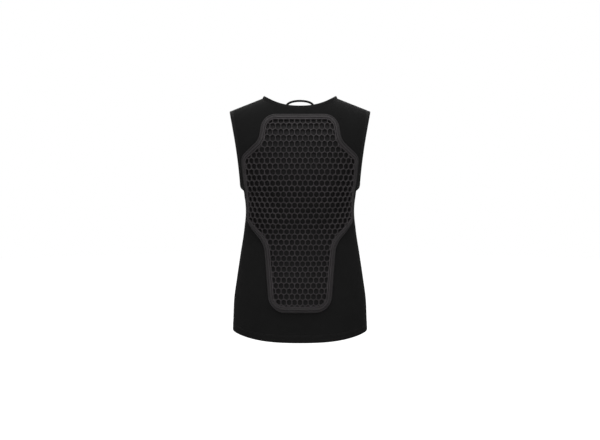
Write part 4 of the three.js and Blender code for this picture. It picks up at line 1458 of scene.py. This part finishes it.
# %% One stitch, and even places for it
THREAD_RADIUS = 0.00024
STITCH_SIDES = 6
STITCH_RINGS = 5
STITCH_SINK = 2.2


def stitch_shape(length):
    """A short arc of thread along x, its ends sunk into the cloth."""
    t = np.linspace(-1, 1, STITCH_RINGS)
    angle = np.linspace(0, 2 * np.pi, STITCH_SIDES, endpoint=False)
    rise = THREAD_RADIUS * (1 - STITCH_SINK * t**4)
    y, z = THREAD_RADIUS * np.cos(angle), THREAD_RADIUS * np.sin(angle)
    rings = [np.column_stack([np.full(STITCH_SIDES, x), y, lift + z])
             for x, lift in zip(t * length / 2, rise)]
    return stacked_rings(rings)


def even_places(points, normals, pitch):
    """Points, directions and normals at an even pitch along a row of points."""
    length = path_lengths(points)
    wanted = np.arange(pitch / 2, length[-1], pitch)

    def at_wanted(values):
        return np.stack([np.interp(wanted, length, values[:, k]) for k in range(3)], axis=1)

    place, normal, direction = at_wanted(points), unit(at_wanted(normals)), at_wanted(tangents(points))
    direction = unit(direction - normal * (direction * normal).sum(axis=1, keepdims=True))
    return place, direction, normal


def stitch_row(points, normals, pitch, slant):
    """Frames for one row of stitches: x along the row, turned by a slant about the cloth's normal."""
    place, direction, normal = even_places(points, normals, pitch)
    side = np.cross(normal, direction)
    turned = direction * np.cos(slant) + side * np.sin(slant)
    return place, turned, np.cross(normal, turned), normal


def joined_rows(name, rows, length):
    """All rows of one kind of stitch as one piece."""
    frames = tuple(np.concatenate([row[k] for row in rows]) for k in range(4))
    shape, faces = stitch_shape(length)
    return copies(name, shape, faces, frames)


# %% Rows of stitches
STRAIGHT = 0.0
HEM_ROWS = (0.0150, 0.0178)
HEM_PITCH = 0.0030
HEM_STITCH = 0.0023
HEM_ROW_START = 0.02
HEM_ROW_END = 0.985
BACK_HEM_POINTS = 500
FRONT_HEM_POINTS = 260
LADDER_PITCH = 0.0019
LADDER_STITCH = 0.0044
LADDER_SLANT = 1.15
LADDER_LIFT = 0.00036
BINDING_PITCH = 0.0026
BINDING_STITCH = 0.0019
BINDING_ROW = 0.0021
BINDING_LIFT = 0.90
ZIP_ROW = 0.0032
ZIP_ROW_MARGIN = 0.004
ZIP_ROW_POINTS = 400
ZIP_ROW_LIFT = 0.0001


def hem_rows():
    """Two rows round the hem, on the back and on each front up to its zip stitching."""
    back = np.linspace(-HEM_ROW_END, HEM_ROW_END, BACK_HEM_POINTS)
    front = np.linspace(HEM_ROW_START, HEM_ROW_END, FRONT_HEM_POINTS)
    rows = []
    for distance in HEM_ROWS:
        share = distance / (TORSO_LENGTH - ARMHOLE_DEPTH)
        for face, column, hand in ((BACK, back, 1), (FRONT, front, 1), (FRONT, front, -1)):
            place = cloth_place(face, column, np.full_like(column, share), hand)
            rows.append(stitch_row(*place, HEM_PITCH, STRAIGHT))
    return rows


def seam_rows():
    """The ladder over each flat seam: two slants in turn."""
    rows = []
    for origin, _, normal in seam_paths.values():
        lifted = origin + normal * LADDER_LIFT
        rows += [stitch_row(lifted, normal, 2 * LADDER_PITCH, slant)
                 for slant in (LADDER_SLANT, -LADDER_SLANT)]
    return rows


def binding_rows():
    """One row on each face of each binding, near the seam."""
    rows = []
    for origin, across, up in (neck_path, arm_path, mirrored(arm_path)):
        for face in (1, -1):
            lift = BAND_THICKNESS / 2 * BINDING_LIFT * face
            place = origin + across * BINDING_ROW + up * lift
            rows.append(stitch_row(place, up * face, BINDING_PITCH, STRAIGHT))
    return rows


def zip_rows():
    """One row down each side of the zip, on the cloth."""
    rows = []
    z = np.linspace(-TORSO_LENGTH + ZIP_ROW_MARGIN, -NECK_DROP_FRONT - ZIP_ROW_MARGIN, ZIP_ROW_POINTS)
    for hand in (1, -1):
        x = np.full_like(z, hand * (FRONT.start + ZIP_ROW))
        point = shell_point(FRONT, x, z)
        up = shell_point(FRONT, x, z + EDGE_STEP) - shell_point(FRONT, x, z - EDGE_STEP)
        across = shell_point(FRONT, x + EDGE_STEP, z) - shell_point(FRONT, x - EDGE_STEP, z)
        normal = unit(np.cross(up, across))
        rows.append(stitch_row(point + normal * ZIP_ROW_LIFT, normal, HEM_PITCH, STRAIGHT))
    return rows


hem_stitches = joined_rows("hem_stitches", hem_rows(), HEM_STITCH)
seam_stitches = joined_rows("seam_stitches", seam_rows(), LADDER_STITCH)
binding_stitches = joined_rows("binding_stitches", binding_rows(), BINDING_STITCH)
zip_stitches = joined_rows("zip_stitches", zip_rows(), HEM_STITCH)

# %% [markdown]
# Shared effects
#
# Several finishes need the same effects: a knit, a fine grain, a slow change of tone. Each is a node group,
# built once with named inputs, and placed in a material with that material's own values. A group only gives
# out heights, masks and colours. The shader, and every value that is the same all over a surface, stay in
# the material.

# %% Node helpers
def node(tree, kind, settings=None, **inputs):
    """A node with its settings, and its inputs set to a value or linked to another node's output. In an
    input's name an underscore stands for a space."""
    made = tree.nodes.new(kind)
    for name, value in (settings or {}).items():
        setattr(made, name, value)
    for name, value in inputs.items():
        wire(tree, made.inputs[name.replace("_", " ")], value)
    return made


def wire(tree, socket, value):
    """Links an output to a socket, or sets the socket's own value."""
    if isinstance(value, bpy.types.NodeSocket):
        tree.links.new(value, socket)
    else:
        socket.default_value = value


def maths(tree, operation, *values):
    """One Math node's output."""
    made = node(tree, "ShaderNodeMath", {"operation": operation})
    for socket, value in zip(made.inputs, values):
        wire(tree, socket, value)
    return made.outputs[0]


def new_group(name, inputs, outputs):
    """An empty node group with its sockets, and its input and output nodes."""
    group = bpy.data.node_groups.new(name, "ShaderNodeTree")
    for label, kind, default in inputs:
        socket = group.interface.new_socket(label, in_out="INPUT", socket_type=kind)
        if default is not None:
            socket.default_value = default
    for label, kind in outputs:
        group.interface.new_socket(label, in_out="OUTPUT", socket_type=kind)
    return group, group.nodes.new("NodeGroupInput"), group.nodes.new("NodeGroupOutput")


def use_group(tree, group, **inputs):
    """A group placed in a tree, with its inputs set or linked."""
    made = tree.nodes.new("ShaderNodeGroup")
    made.node_tree = group
    for name, value in inputs.items():
        wire(tree, made.inputs[name.replace("_", " ")], value)
    return made


# %% Knit, grain and tone
def knit_group():
    """Jersey loops: columns of small V shapes. Across a column the height is an arch, and along it a wave
    whose phase is moved by the distance from the column's middle, which draws the V."""
    sockets = [("Vector", "NodeSocketVector", None), ("Wale", "NodeSocketFloat", 0.0009),
               ("Course", "NodeSocketFloat", 0.0007)]
    results = [("Height", "NodeSocketFloat"), ("Mask", "NodeSocketFloat")]
    group, start, end = new_group("knit", sockets, results)
    parts = node(group, "ShaderNodeSeparateXYZ", Vector=start.outputs["Vector"])
    u = maths(group, "DIVIDE", parts.outputs[0], start.outputs["Wale"])
    v = maths(group, "DIVIDE", parts.outputs[1], start.outputs["Course"])
    off = maths(group, "ABSOLUTE", maths(group, "SUBTRACT", maths(group, "FRACT", u), 0.5))
    arch = maths(group, "SUBTRACT", 1.0, maths(group, "POWER", maths(group, "MULTIPLY", off, 2.0), 2.0))
    phase = maths(group, "MULTIPLY", maths(group, "ADD", v, off), 2 * np.pi)
    wave = maths(group, "MULTIPLY_ADD", maths(group, "COSINE", phase), 0.32, 0.68)
    height = maths(group, "MULTIPLY", arch, wave)
    group.links.new(height, end.inputs["Height"])
    group.links.new(maths(group, "SMOOTH_MIN", height, 1.0, 0.3), end.inputs["Mask"])
    return group


def grain_group():
    """Fine moulded grain: two noises of different size, and a mask that holds the pits."""
    sockets = [("Vector", "NodeSocketVector", None), ("Scale", "NodeSocketFloat", 1400.0)]
    results = [("Height", "NodeSocketFloat"), ("Pits", "NodeSocketFloat")]
    group, start, end = new_group("grain", sockets, results)
    fine = node(group, "ShaderNodeTexNoise", Vector=start.outputs["Vector"], Scale=start.outputs["Scale"],
                Detail=2.0, Roughness=0.6)
    cells = node(group, "ShaderNodeTexVoronoi", {"feature": "F1"}, Vector=start.outputs["Vector"],
                 Scale=maths(group, "MULTIPLY", start.outputs["Scale"], 0.55))
    pits = node(group, "ShaderNodeMapRange", Value=cells.outputs["Distance"], From_Min=0.05, From_Max=0.45)
    height = maths(group, "MULTIPLY_ADD", pits.outputs[0], 0.5, fine.outputs[0])
    group.links.new(height, end.inputs["Height"])
    group.links.new(pits.outputs[0], end.inputs["Pits"])
    return group


def tone_group():
    """A colour that changes slowly over a surface: two sizes of soft noise lighten and darken it by a
    spread."""
    sockets = [("Vector", "NodeSocketVector", None), ("Colour", "NodeSocketColor", (0.02, 0.02, 0.02, 1)),
               ("Spread", "NodeSocketFloat", 0.2), ("Scale", "NodeSocketFloat", 9.0)]
    results = [("Colour", "NodeSocketColor"), ("Mask", "NodeSocketFloat")]
    group, start, end = new_group("tone", sockets, results)
    noise = node(group, "ShaderNodeTexNoise", Vector=start.outputs["Vector"], Scale=start.outputs["Scale"],
                 Detail=4.0, Roughness=0.55)
    mask = node(group, "ShaderNodeMapRange", Value=noise.outputs[0], From_Min=0.3, From_Max=0.7)
    swing = maths(group, "MULTIPLY_ADD", maths(group, "SUBTRACT", mask.outputs[0], 0.5),
                  maths(group, "MULTIPLY", start.outputs["Spread"], 2.0), 1.0)
    shade = node(group, "ShaderNodeVectorMath", {"operation": "SCALE"}, Vector=start.outputs["Colour"],
                 Scale=swing)
    group.links.new(shade.outputs[0], end.inputs["Colour"])
    group.links.new(mask.outputs[0], end.inputs["Mask"])
    return group


KNIT, GRAIN, TONE = knit_group(), grain_group(), tone_group()
print("effects:", KNIT.name, GRAIN.name, TONE.name)


# %% [markdown]
# Finishes
#
# Black fabric is never one flat colour: the knit scatters light at its edges, which sheen stands for, and
# its colour drifts a little where it is stretched. Foam rubber is a shade lighter, with a fine moulded
# grain, and it is smoother along the crests that get touched. Painted shade darkens the hollows of the
# knit, the tape's ribs, the braid and the foam. Each material below takes these effects with its own
# values.

# %% Material helper
FOAM_TINT = (1.13, 1.0, 1.06)
LACQUER_TINT = (0.96, 1.0, 1.04)


def grey(value, tint=(1.0, 1.0, 1.0)):
    """A linear grey, multiplied by a slight tint."""
    return tuple(value * share for share in tint) + (1.0,)


def new_material(name, roughness, specular, sheen=0.0, sheen_roughness=0.4):
    """A material with one Principled shader, whose constants are set on its own sockets."""
    material = bpy.data.materials.new(name)
    material.use_nodes = True
    tree = material.node_tree
    shader = tree.nodes["Principled BSDF"]
    shader.inputs["Roughness"].default_value = roughness
    shader.inputs["Specular IOR Level"].default_value = specular
    shader.inputs["Sheen Weight"].default_value = sheen
    shader.inputs["Sheen Roughness"].default_value = sheen_roughness
    return material, tree, shader


def shade_base(tree, shader, tone, shade):
    """Feeds a tone's colour, scaled by a shade, into the shader's base colour."""
    scaled = node(tree, "ShaderNodeVectorMath", {"operation": "SCALE"}, Vector=tone.outputs["Colour"],
                  Scale=shade)
    tree.links.new(scaled.outputs[0], shader.inputs["Base Color"])


def bump(tree, shader, height, distance, strength):
    """Feeds a height into the shader's normal."""
    made = node(tree, "ShaderNodeBump", Height=height, Distance=distance, Strength=strength)
    tree.links.new(made.outputs[0], shader.inputs["Normal"])


def object_coordinates(tree):
    """The piece's own place, in metres."""
    return node(tree, "ShaderNodeTexCoord").outputs["Object"]


def uv_coordinates(tree):
    """The piece's UV map, in metres along the cloth."""
    return node(tree, "ShaderNodeTexCoord").outputs["UV"]


# %% Fabric, tape and thread
def stretch_fabric():
    """Fine jersey: the knit in relief, its hollows darkened by painted shade, and a slow drift of tone."""
    material, tree, shader = new_material("stretch_fabric", roughness=0.85, specular=0.06,
                                          sheen=0.015, sheen_roughness=0.5)
    knit = use_group(tree, KNIT, Vector=uv_coordinates(tree), Wale=0.0011, Course=0.0009)
    tone = use_group(tree, TONE, Vector=object_coordinates(tree), Colour=grey(0.0106),
                     Spread=0.12, Scale=7.0)
    # Painted shade: the knit's mask darkens its hollows.
    shade = maths(tree, "MULTIPLY_ADD", knit.outputs["Mask"], 0.5, 0.72)
    shade_base(tree, shader, tone, shade)
    bump(tree, shader, knit.outputs["Height"], distance=0.00022, strength=0.7)
    return material


def binding_tape():
    """Elastic tape: fine ribs along its length, with painted shade between them, over a slow change of tone.
    """
    material, tree, shader = new_material("binding_tape", roughness=0.75, specular=0.14,
                                          sheen=0.03, sheen_roughness=0.45)
    place = uv_coordinates(tree)
    ribs = node(tree, "ShaderNodeTexWave", {"bands_direction": "Y"}, Vector=place, Scale=260.0)
    floats = node(tree, "ShaderNodeTexWave", {"bands_direction": "X"}, Vector=place, Scale=420.0)
    height = maths(tree, "MULTIPLY_ADD", floats.outputs["Fac"], 0.3, ribs.outputs["Fac"])
    tone = use_group(tree, TONE, Vector=object_coordinates(tree), Colour=grey(0.0082),
                     Spread=0.15, Scale=16.0)
    # Painted shade: the colour is darker between the ribs.
    shade = maths(tree, "MULTIPLY_ADD", ribs.outputs["Fac"], 0.45, 0.75)
    shade_base(tree, shader, tone, shade)
    bump(tree, shader, height, distance=0.00018, strength=0.7)
    return material


def thread():
    """Polyester thread: a little lighter and glossier than the cloth, with a fine twist."""
    material, tree, shader = new_material("thread", roughness=0.55, specular=0.25, sheen=0.05)
    twist = node(tree, "ShaderNodeTexNoise", Vector=object_coordinates(tree), Scale=2600.0)
    tone = use_group(tree, TONE, Vector=object_coordinates(tree), Colour=grey(0.014),
                     Spread=0.25, Scale=60.0)
    tree.links.new(tone.outputs["Colour"], shader.inputs["Base Color"])
    bump(tree, shader, twist.outputs[0], distance=0.00006, strength=0.6)
    return material


def braided_cord():
    """Braid: the relief is in the mesh, so the crown value only lightens its high strands: painted light on
    the high strands and painted shade between them.
    """
    material, tree, shader = new_material("braided_cord", roughness=0.70, specular=0.15, sheen=0.03)
    crown = node(tree, "ShaderNodeAttribute", {"attribute_name": "crown"})
    strands = node(tree, "ShaderNodeTexNoise", Vector=object_coordinates(tree), Scale=3000.0)
    tone = use_group(tree, TONE, Vector=object_coordinates(tree), Colour=grey(0.0065),
                     Spread=0.2, Scale=80.0)
    # Painted highlight and shade: the braid's high strands are lighter, its low ones darker.
    shade = maths(tree, "MULTIPLY_ADD", crown.outputs["Fac"], 0.35, 0.8)
    shade_base(tree, shader, tone, shade)
    bump(tree, shader, strands.outputs[0], distance=0.00006, strength=0.6)
    return material


def zip_webbing():
    """Woven zip tape: a plain weave of two crossed waves."""
    material, tree, shader = new_material("zip_webbing", roughness=0.78, specular=0.15, sheen=0.03)
    place = uv_coordinates(tree)
    warp = node(tree, "ShaderNodeTexWave", {"bands_direction": "Y"}, Vector=place, Scale=330.0)
    weft = node(tree, "ShaderNodeTexWave", {"bands_direction": "X"}, Vector=place, Scale=330.0)
    height = maths(tree, "MULTIPLY", warp.outputs["Fac"], weft.outputs["Fac"])
    tone = use_group(tree, TONE, Vector=object_coordinates(tree), Colour=grey(0.0090),
                     Spread=0.15, Scale=20.0)
    tree.links.new(tone.outputs["Colour"], shader.inputs["Base Color"])
    bump(tree, shader, height, distance=0.00015, strength=0.7)
    return material


# %% Foam rubber, plastic and metal
def foam_rubber(name, value, roughness, spread, floor_shade):
    """Moulded foam: grain in relief, painted shade that darkens the colour towards the base and in the
    grain's pits, and crests that are smoother.
    """
    material, tree, shader = new_material(name, roughness, specular=0.28, sheen=0.03, sheen_roughness=0.5)
    place = object_coordinates(tree)
    grain = use_group(tree, GRAIN, Vector=place, Scale=1300.0)
    tone = use_group(tree, TONE, Vector=place, Colour=grey(value, FOAM_TINT), Spread=spread, Scale=24.0)
    # Painted shade: the colour falls to floor_shade towards the foot of the cells and of the rim, where
    # shade falls.
    height = node(tree, "ShaderNodeAttribute", {"attribute_name": "height"})
    depth_shade = node(tree, "ShaderNodeMapRange", Value=height.outputs["Fac"], From_Min=0.26, From_Max=0.95,
                To_Min=floor_shade, To_Max=1.0)
    # Painted shade: the grain's pits are darker.
    pits = maths(tree, "MULTIPLY_ADD", grain.outputs["Pits"], 0.25, 0.85)
    shade = maths(tree, "MULTIPLY", depth_shade.outputs[0], pits)
    shade_base(tree, shader, tone, shade)
    worn = node(tree, "ShaderNodeMapRange", Value=height.outputs["Fac"], From_Min=0.85, From_Max=1.0,
                To_Min=roughness + 0.12, To_Max=roughness)
    drift = maths(tree, "MULTIPLY_ADD", tone.outputs["Mask"], 0.08, worn.outputs[0])
    tree.links.new(drift, shader.inputs["Roughness"])
    bump(tree, shader, grain.outputs["Height"], distance=0.00010, strength=0.55)
    return material


def moulded_plastic(name, value, roughness):
    """Hard plastic: nearly smooth, with a faint grain and a slow change of gloss."""
    material, tree, shader = new_material(name, roughness, specular=0.45)
    place = object_coordinates(tree)
    grain = use_group(tree, GRAIN, Vector=place, Scale=2600.0)
    tone = use_group(tree, TONE, Vector=place, Colour=grey(value), Spread=0.12, Scale=90.0)
    tree.links.new(tone.outputs["Colour"], shader.inputs["Base Color"])
    gloss = maths(tree, "MULTIPLY_ADD", tone.outputs["Mask"], 0.1, roughness)
    tree.links.new(gloss, shader.inputs["Roughness"])
    bump(tree, shader, grain.outputs["Height"], distance=0.00003, strength=0.4)
    return material


def painted_metal():
    """Black lacquer on a die-cast slider: fine grain and soft gloss."""
    material, tree, shader = new_material("painted_metal", roughness=0.36, specular=0.5)
    place = object_coordinates(tree)
    grain = use_group(tree, GRAIN, Vector=place, Scale=3200.0)
    tone = use_group(tree, TONE, Vector=place, Colour=grey(0.018, LACQUER_TINT), Spread=0.2, Scale=140.0)
    tree.links.new(tone.outputs["Colour"], shader.inputs["Base Color"])
    gloss = maths(tree, "MULTIPLY_ADD", grain.outputs["Pits"], 0.12, 0.30)
    tree.links.new(gloss, shader.inputs["Roughness"])
    bump(tree, shader, grain.outputs["Height"], distance=0.00002, strength=0.4)
    return material


FINISHES = {
    "fabric": stretch_fabric(),
    "tape": binding_tape(),
    "thread": thread(),
    "cord": braided_cord(),
    "webbing": zip_webbing(),
    # The last number of each foam is its painted shade at the foot.
    "rim": foam_rubber("rim_rubber", 0.021, 0.50, 0.12, 0.7),
    "comb": foam_rubber("comb_rubber", 0.031, 0.52, 0.20, 0.15),
    "teeth": moulded_plastic("zip_plastic", 0.014, 0.42),
    "metal": painted_metal(),
}
print(len(FINISHES), "finishes")

# %% [markdown]
# What each piece stands for
#
# Every piece rides on the vest's one body, takes its finish, and stands for the solid of the frame that it
# refines. The panels are sheets of cloth, held stretched by the wearer, and cut smaller than they are worn.
# The protector's two parts are tight pads.

# %% Rides, replaced nodes and finishes
def belongs(piece, slot, finish, *nodes):
    """A piece rides on the one body, takes its finish, and stands for its nodes. The slot is not used."""
    piece.data.materials.clear()
    piece.data.materials.append(FINISHES[finish])
    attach(piece, "root")
    if nodes:
        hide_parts(*nodes)


belongs(back_cloth, "stretch_fabric", "fabric", "back_panel")
belongs(front_right, "stretch_fabric", "fabric", "front_panel_right")
belongs(front_left, "stretch_fabric", "fabric", "front_panel_left")
belongs(neck_binding, "binding", "tape", "neck_band")
belongs(arm_binding_right, "binding", "tape", "armhole_band_right")
belongs(arm_binding_left, "binding", "tape", "armhole_band_left")
belongs(rim_piece, "rim_foam", "rim", "protector_rim")
belongs(comb_piece, "honeycomb_foam", "comb", "protector_core")
belongs(loop_piece, "cord", "cord", "hang_loop")
belongs(tapes[0], "zip", "webbing", "front_zip")
belongs(tapes[1], "zip", "webbing", "front_zip")
for piece in (teeth, stops, zip_box):
    belongs(piece, "zip", "teeth")
for piece in (slider, bridge, pull):
    belongs(piece, "zip", "metal")
for piece in seams:
    belongs(piece, "stretch_fabric", "fabric")
for piece in (hem_stitches, seam_stitches, binding_stitches, zip_stitches):
    belongs(piece, "stretch_fabric", "thread")


# %% [markdown]
# Studio
#
# The photograph is a plain product shot: soft light from above and from the camera's side, and a background
# that is burnt out to white. So two big soft boxes hang above the vest, one on the camera's side and one
# beyond it, two wide ones stand farther off in the same two directions, and two weak ones fill in from the
# left and the right. The surroundings that light the vest are dimmer than the white that the camera sees.
# The pale floor lies at the height of a wearer's feet.

# %% Camera
CAMERA_DISTANCE = 2.2
CAMERA_HEIGHT = -0.148
AIM_HEIGHT = -0.3086
IMAGE_WIDTH = 600
METRES_PER_PIXEL = 0.002562
SENSOR_WIDTH = 36.0

camera_data = bpy.data.cameras.new("camera")
camera_data.sensor_width = SENSOR_WIDTH
camera_data.lens = SENSOR_WIDTH * CAMERA_DISTANCE / (IMAGE_WIDTH * METRES_PER_PIXEL)
camera = bpy.data.objects.new("camera", camera_data)
bpy.context.scene.collection.objects.link(camera)
camera.location = (0, -CAMERA_DISTANCE, CAMERA_HEIGHT)
tilt = np.arctan2(CAMERA_HEIGHT - AIM_HEIGHT, CAMERA_DISTANCE)
camera.rotation_euler = (np.pi / 2 - tilt, 0, 0)
bpy.context.scene.camera = camera
print("lens", round(camera_data.lens, 2), "mm, tilted down", round(float(np.degrees(tilt)), 2), "degrees")


# %% Soft boxes
SOFT_BOX_COLUMNS = ("name", "place", "aim_height", "size", "power")
SOFT_BOX_ROWS = [
    ("overhead_box_back", (0.0, -1.1, 1.35), -0.15, (1.8, 1.1), 19),
    ("overhead_box_front", (0.0, 1.1, 1.35), -0.15, (1.8, 1.1), 19),
    ("wide_box_back", (0.0, -2.7, 0.55), -0.30, (2.4, 1.6), 26),
    ("wide_box_front", (0.0, 2.7, 0.55), -0.30, (2.4, 1.6), 26),
    ("side_box_right", (2.2, -0.5, 0.1), -0.30, (1.0, 1.6), 4),
    ("side_box_left", (-2.2, -0.5, 0.1), -0.30, (1.0, 1.6), 4),
]


def soft_box(name, place, aim_height, size, power):
    """A rectangular area light at a place, turned towards a point of the vest's axis."""
    data = bpy.data.lights.new(name, "AREA")
    data.shape = "RECTANGLE"
    data.size, data.size_y = size
    data.energy = power
    box = bpy.data.objects.new(name, data)
    bpy.context.scene.collection.objects.link(box)
    away = np.array(place) - UPWARDS * aim_height
    flat = np.hypot(away[0], away[1])
    box.location = place
    box.rotation_euler = (np.arctan2(flat, away[2]), 0, np.arctan2(away[0], -away[1]))


for row in SOFT_BOX_ROWS:
    soft_box(**dict(zip(SOFT_BOX_COLUMNS, row)))


# %% Surroundings and floor
SURROUND_SHOWN = 1.0
SURROUND_LIGHT = 0.15
FLOOR_HEIGHT = -1.40
FLOOR_RADIUS = 9.0
FLOOR_THICKNESS = 0.05
FLOOR_CORNERS = 96
FLOOR_DARK, FLOOR_LIGHT = 0.80, 0.84
FLOOR_LIFT = 0.30
FLOOR_LIFT_FROM, FLOOR_WHITE_FROM = 0.2, 1.35


def surroundings():
    """A white world: full white for the camera, and dimmer where it lights the vest."""
    world = bpy.data.worlds.new("surroundings")
    world.use_nodes = True
    bpy.context.scene.world = world
    tree = world.node_tree
    rays = node(tree, "ShaderNodeLightPath")
    seen = node(tree, "ShaderNodeMapRange", Value=rays.outputs["Is Camera Ray"], To_Min=SURROUND_LIGHT,
                To_Max=SURROUND_SHOWN)
    background = tree.nodes["Background"]
    background.inputs["Color"].default_value = (1, 1, 1, 1)
    tree.links.new(seen.outputs[0], background.inputs["Strength"])


def pale_floor():
    """A round pale floor that glows for the camera only, a painted light that lifts it to full white away
    from the middle, as a floor that runs up into a white backdrop is, so that no horizon shows behind the
    vest."""
    angle = np.linspace(0, 2 * np.pi, FLOOR_CORNERS, endpoint=False)
    ring = np.stack([np.cos(angle), np.sin(angle)], axis=1) * FLOOR_RADIUS
    low = np.column_stack([ring, np.full(FLOOR_CORNERS, FLOOR_HEIGHT - FLOOR_THICKNESS)])
    high = np.column_stack([ring, np.full(FLOOR_CORNERS, FLOOR_HEIGHT)])
    floor = build("floor", *stacked_rings([low, high]))
    material, tree, shader = new_material("pale_floor", roughness=0.9, specular=0.1)
    place = object_coordinates(tree)
    speck = node(tree, "ShaderNodeTexNoise", Vector=place, Scale=3.0)
    tone = node(tree, "ShaderNodeMapRange", Value=speck.outputs[0], To_Min=FLOOR_DARK, To_Max=FLOOR_LIGHT)
    tree.links.new(tone.outputs[0], shader.inputs["Base Color"])
    parts = node(tree, "ShaderNodeSeparateXYZ", Vector=place)
    squares = [maths(tree, "MULTIPLY", part, part) for part in parts.outputs[:2]]
    away = maths(tree, "SQRT", maths(tree, "ADD", *squares))
    # Painted light: the floor's glow for camera rays rises from FLOOR_LIFT at the middle to full white.
    lift = node(tree, "ShaderNodeMapRange", Value=away, From_Min=FLOOR_LIFT_FROM,
                From_Max=FLOOR_WHITE_FROM, To_Min=FLOOR_LIFT, To_Max=1.0)
    rays = node(tree, "ShaderNodeLightPath")
    tree.links.new(maths(tree, "MULTIPLY", lift.outputs[0], rays.outputs["Is Camera Ray"]),
                   shader.inputs["Emission Color"])
    shader.inputs["Emission Strength"].default_value = 1.0
    floor.data.materials.append(material)


surroundings()
pale_floor()
bpy.context.scene.view_settings.view_transform = "Standard"
